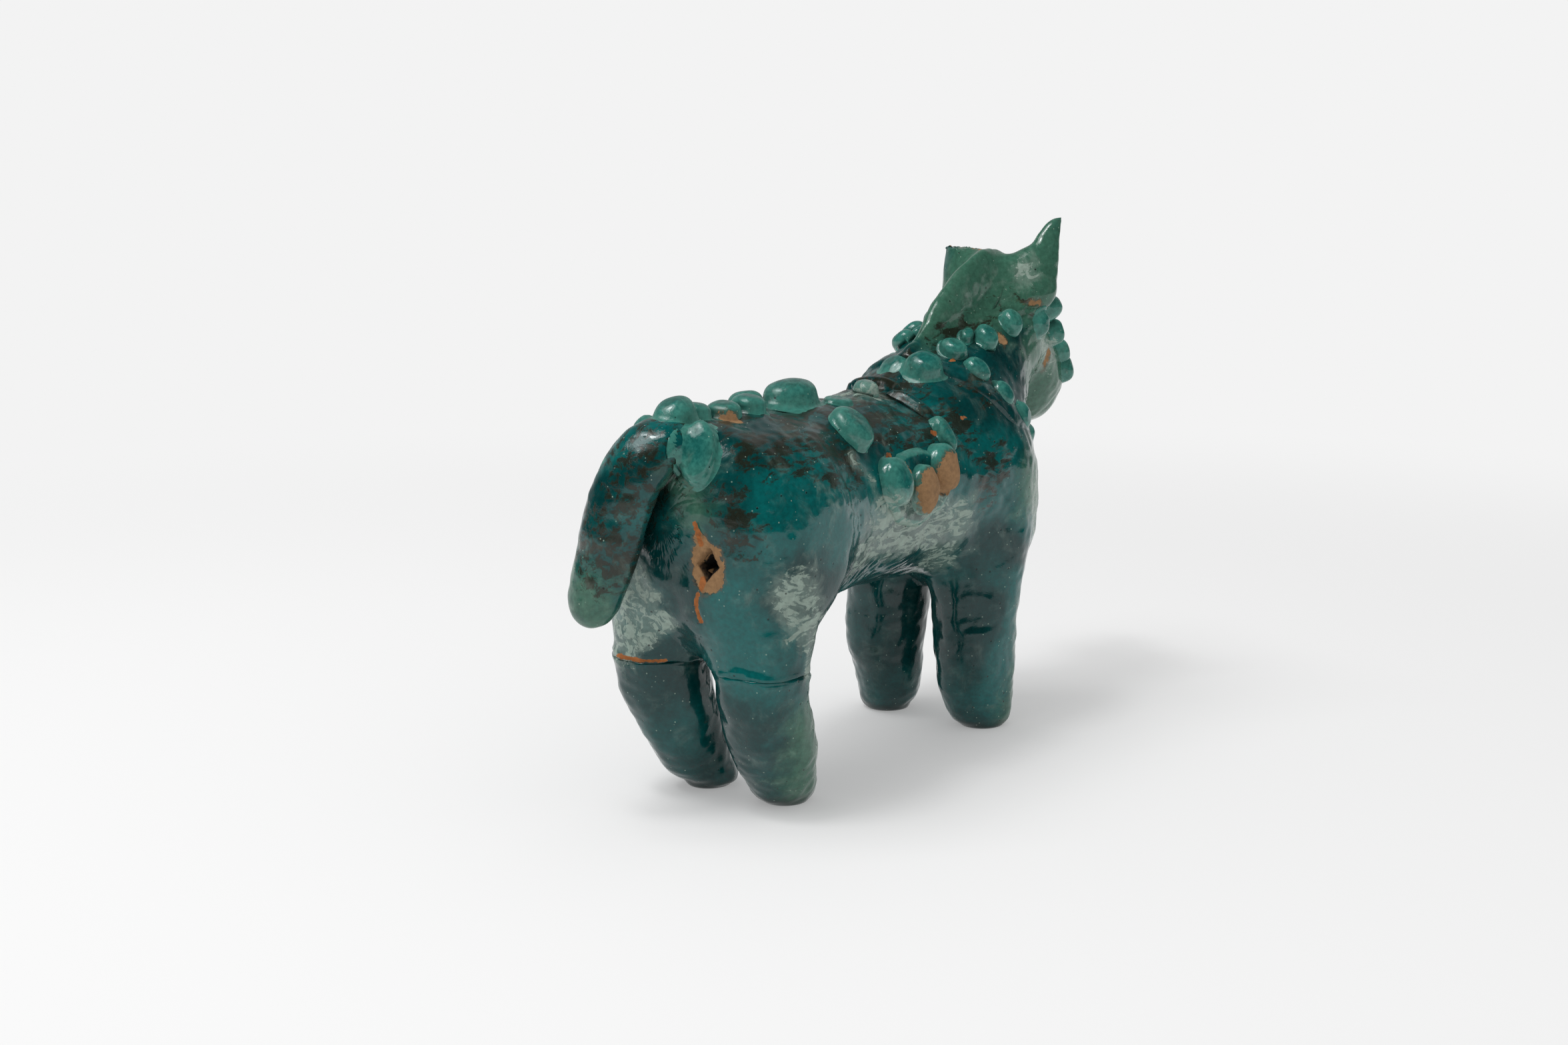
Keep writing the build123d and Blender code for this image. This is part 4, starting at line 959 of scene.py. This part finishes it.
# Bump: ripples of the glaze, pits, flakes, mottles and grain, with the grit of bare clay
gritty = addNode(tree, maths, times, i0=patterns["fine"], i1=masks["clay"]).outputs[0]
ripple = patterns["blotch"]
for source, depth in (
    (masks["pit"], -0.5), (masks["worn"], 0.10), (masks["brown"], -0.08), (patterns["grain"], 0.06), (gritty, 0.5),
):
    ripple = addNode(tree, maths, timesPlus, i0=source, i1=depth, i2=ripple).outputs[0]
reach, strength = glazeLook["bump"], glazeLook["bumpStrength"]
bump = addNode(tree, "ShaderNodeBump", Height=ripple, Distance=reach, Strength=strength).outputs[0]
tree.links.new(bump, shader.inputs["Normal"])
for piece in glazeObjects:
    piece.data.materials.append(glaze)
print("glaze mixed")

# Camera at the photograph's viewing angle
view = {
    "azimuth": -53.98, "elevation": 10.58, "distance": 748.1, "lens": 50, "sensor": 36,
    "target": (-27.6 - middleOffset, 8.2, 86),
}
a, e = math.radians(view["azimuth"]), math.radians(view["elevation"])
back = Vector((math.sin(a) * math.cos(e), -math.cos(a) * math.cos(e), math.sin(e)))
target = Vector(view["target"]) / 1000
cameraData = bpy.data.cameras.new("camera")
cameraData.lens = view["lens"]
cameraData.sensor_width = view["sensor"]
cameraData.clip_start = 0.01
camera = bpy.data.objects.new("camera", cameraData)
camera.location = target + back * view["distance"] / 1000
camera.rotation_euler = (-back).to_track_quat("-Z", "Y").to_euler()
bpy.context.collection.objects.link(camera)
bpy.context.scene.camera = camera

# Matt white paper for the floor, a rolled sheet lit softly. It gives a pale ground that keeps the shadow near the
# object and fades into the background away from it; near and far are in metres.
# Near the object a share of the floor still glows: painted light that lightens the shadow there.
studio = {
    "paper": "f2f2f2", "background": "f3f3f3", "floorHalf": 3, "near": 0.28, "far": 0.85, "shadowLiftGlow": 0.30,
    "room": 0.55, "roomInGloss": 0.03, "farWay": (0.80, 0.60, 0.0), "backdropInGloss": 0.42,
}
half = studio["floorHalf"]
floorMesh = bpy.data.meshes.new("floor")
floorMesh.from_pydata([(-half, -half, 0), (half, -half, 0), (half, half, 0), (-half, half, 0)], [], [(0, 1, 2, 3)])
floor = bpy.data.objects.new("floor", floorMesh)
bpy.context.collection.objects.link(floor)
floorPaint = bpy.data.materials.new("Matt white paper")
floorPaint.use_nodes = True
tree = floorPaint.node_tree
paper = tree.nodes["Principled BSDF"]
paper.inputs["Base Color"].default_value = colour(studio["paper"])
paper.inputs["Roughness"].default_value = 0.9
paper.inputs["Specular IOR Level"].default_value = 0.1
place = addNode(tree, "ShaderNodeTexCoord").outputs["Object"]
away = addNode(tree, "ShaderNodeVectorMath", {"operation": "LENGTH"}, i0=place).outputs["Value"]
near, far, shadowLift = studio["near"], studio["far"], studio["shadowLiftGlow"]
# the floor glows by at least this share near the object, painted light that lightens the cast shadow
fade = addNode(tree, ramp, smooth, i0=away, i1=near, i2=far, i3=shadowLift).outputs[0]
glow = addNode(tree, "ShaderNodeEmission", Color=colour(studio["background"]), Strength=1.0).outputs[0]
blend = addNode(tree, "ShaderNodeMixShader", i0=fade, i1=paper.outputs[0], i2=glow).outputs[0]
tree.links.new(blend, tree.nodes["Material Output"].inputs["Surface"])
floorMesh.materials.append(floorPaint)

# The room: a dim room lights the object, cameras see the pale background all round,
# and reflections see a little of it on the far side of the table only
world = bpy.data.worlds.new("room")
bpy.context.scene.world = world
world.use_nodes = True
tree = world.node_tree
room = tree.nodes["Background"]
room.inputs["Color"].default_value = (1, 1, 1, 1)
pale = addNode(tree, "ShaderNodeBackground", Color=colour(studio["background"]), Strength=1.0).outputs[0]
rays = addNode(tree, "ShaderNodeLightPath").outputs
direction = addNode(tree, "ShaderNodeTexCoord").outputs["Generated"]
dot = {"operation": "DOT_PRODUCT"}
farSide = addNode(tree, "ShaderNodeVectorMath", dot, i0=direction, i1=studio["farWay"]).outputs["Value"]
backdrop = addNode(tree, ramp, smooth, i0=farSide, i1=0.30, i2=0.90, i4=studio["backdropInGloss"]).outputs[0]
shiny = addNode(tree, maths, plus, i0=rays["Is Glossy Ray"], i1=rays["Is Transmission Ray"]).outputs[0]
dim = addNode(tree, ramp, i0=shiny, i3=studio["room"], i4=studio["roomInGloss"]).outputs[0]
tree.links.new(dim, room.inputs["Strength"])
clamped = dict(timesPlus, use_clamp=True)
seen = addNode(tree, maths, clamped, i0=shiny, i1=backdrop, i2=rays["Is Camera Ray"]).outputs[0]
blend = addNode(tree, "ShaderNodeMixShader", i0=seen, i1=room.outputs[0], i2=pale).outputs[0]
tree.links.new(blend, tree.nodes["World Output"].inputs["Surface"])


# Soft lamps: place and size in metres, power in watts
lamps = {
    "keySoftbox": {"place": (-0.72, 0.42, 1.75), "size": (1.3, 0.9), "watts": 16.24},
    "glintLamp": {"place": (-0.66, 0.20, 1.70), "size": (0.34, 0.22), "watts": 5.04},
}
lampAim = Vector((0, 0, 0.08))
for name, lamp in lamps.items():
    data = bpy.data.lights.new(name, "AREA")
    data.shape = "RECTANGLE"
    data.size, data.size_y = lamp["size"]
    data.energy = lamp["watts"]
    light = bpy.data.objects.new(name, data)
    light.location = lamp["place"]
    light.rotation_euler = (lampAim - Vector(lamp["place"])).to_track_quat("-Z", "Y").to_euler()
    bpy.context.collection.objects.link(light)
bpy.context.scene.view_settings.view_transform = "Standard"
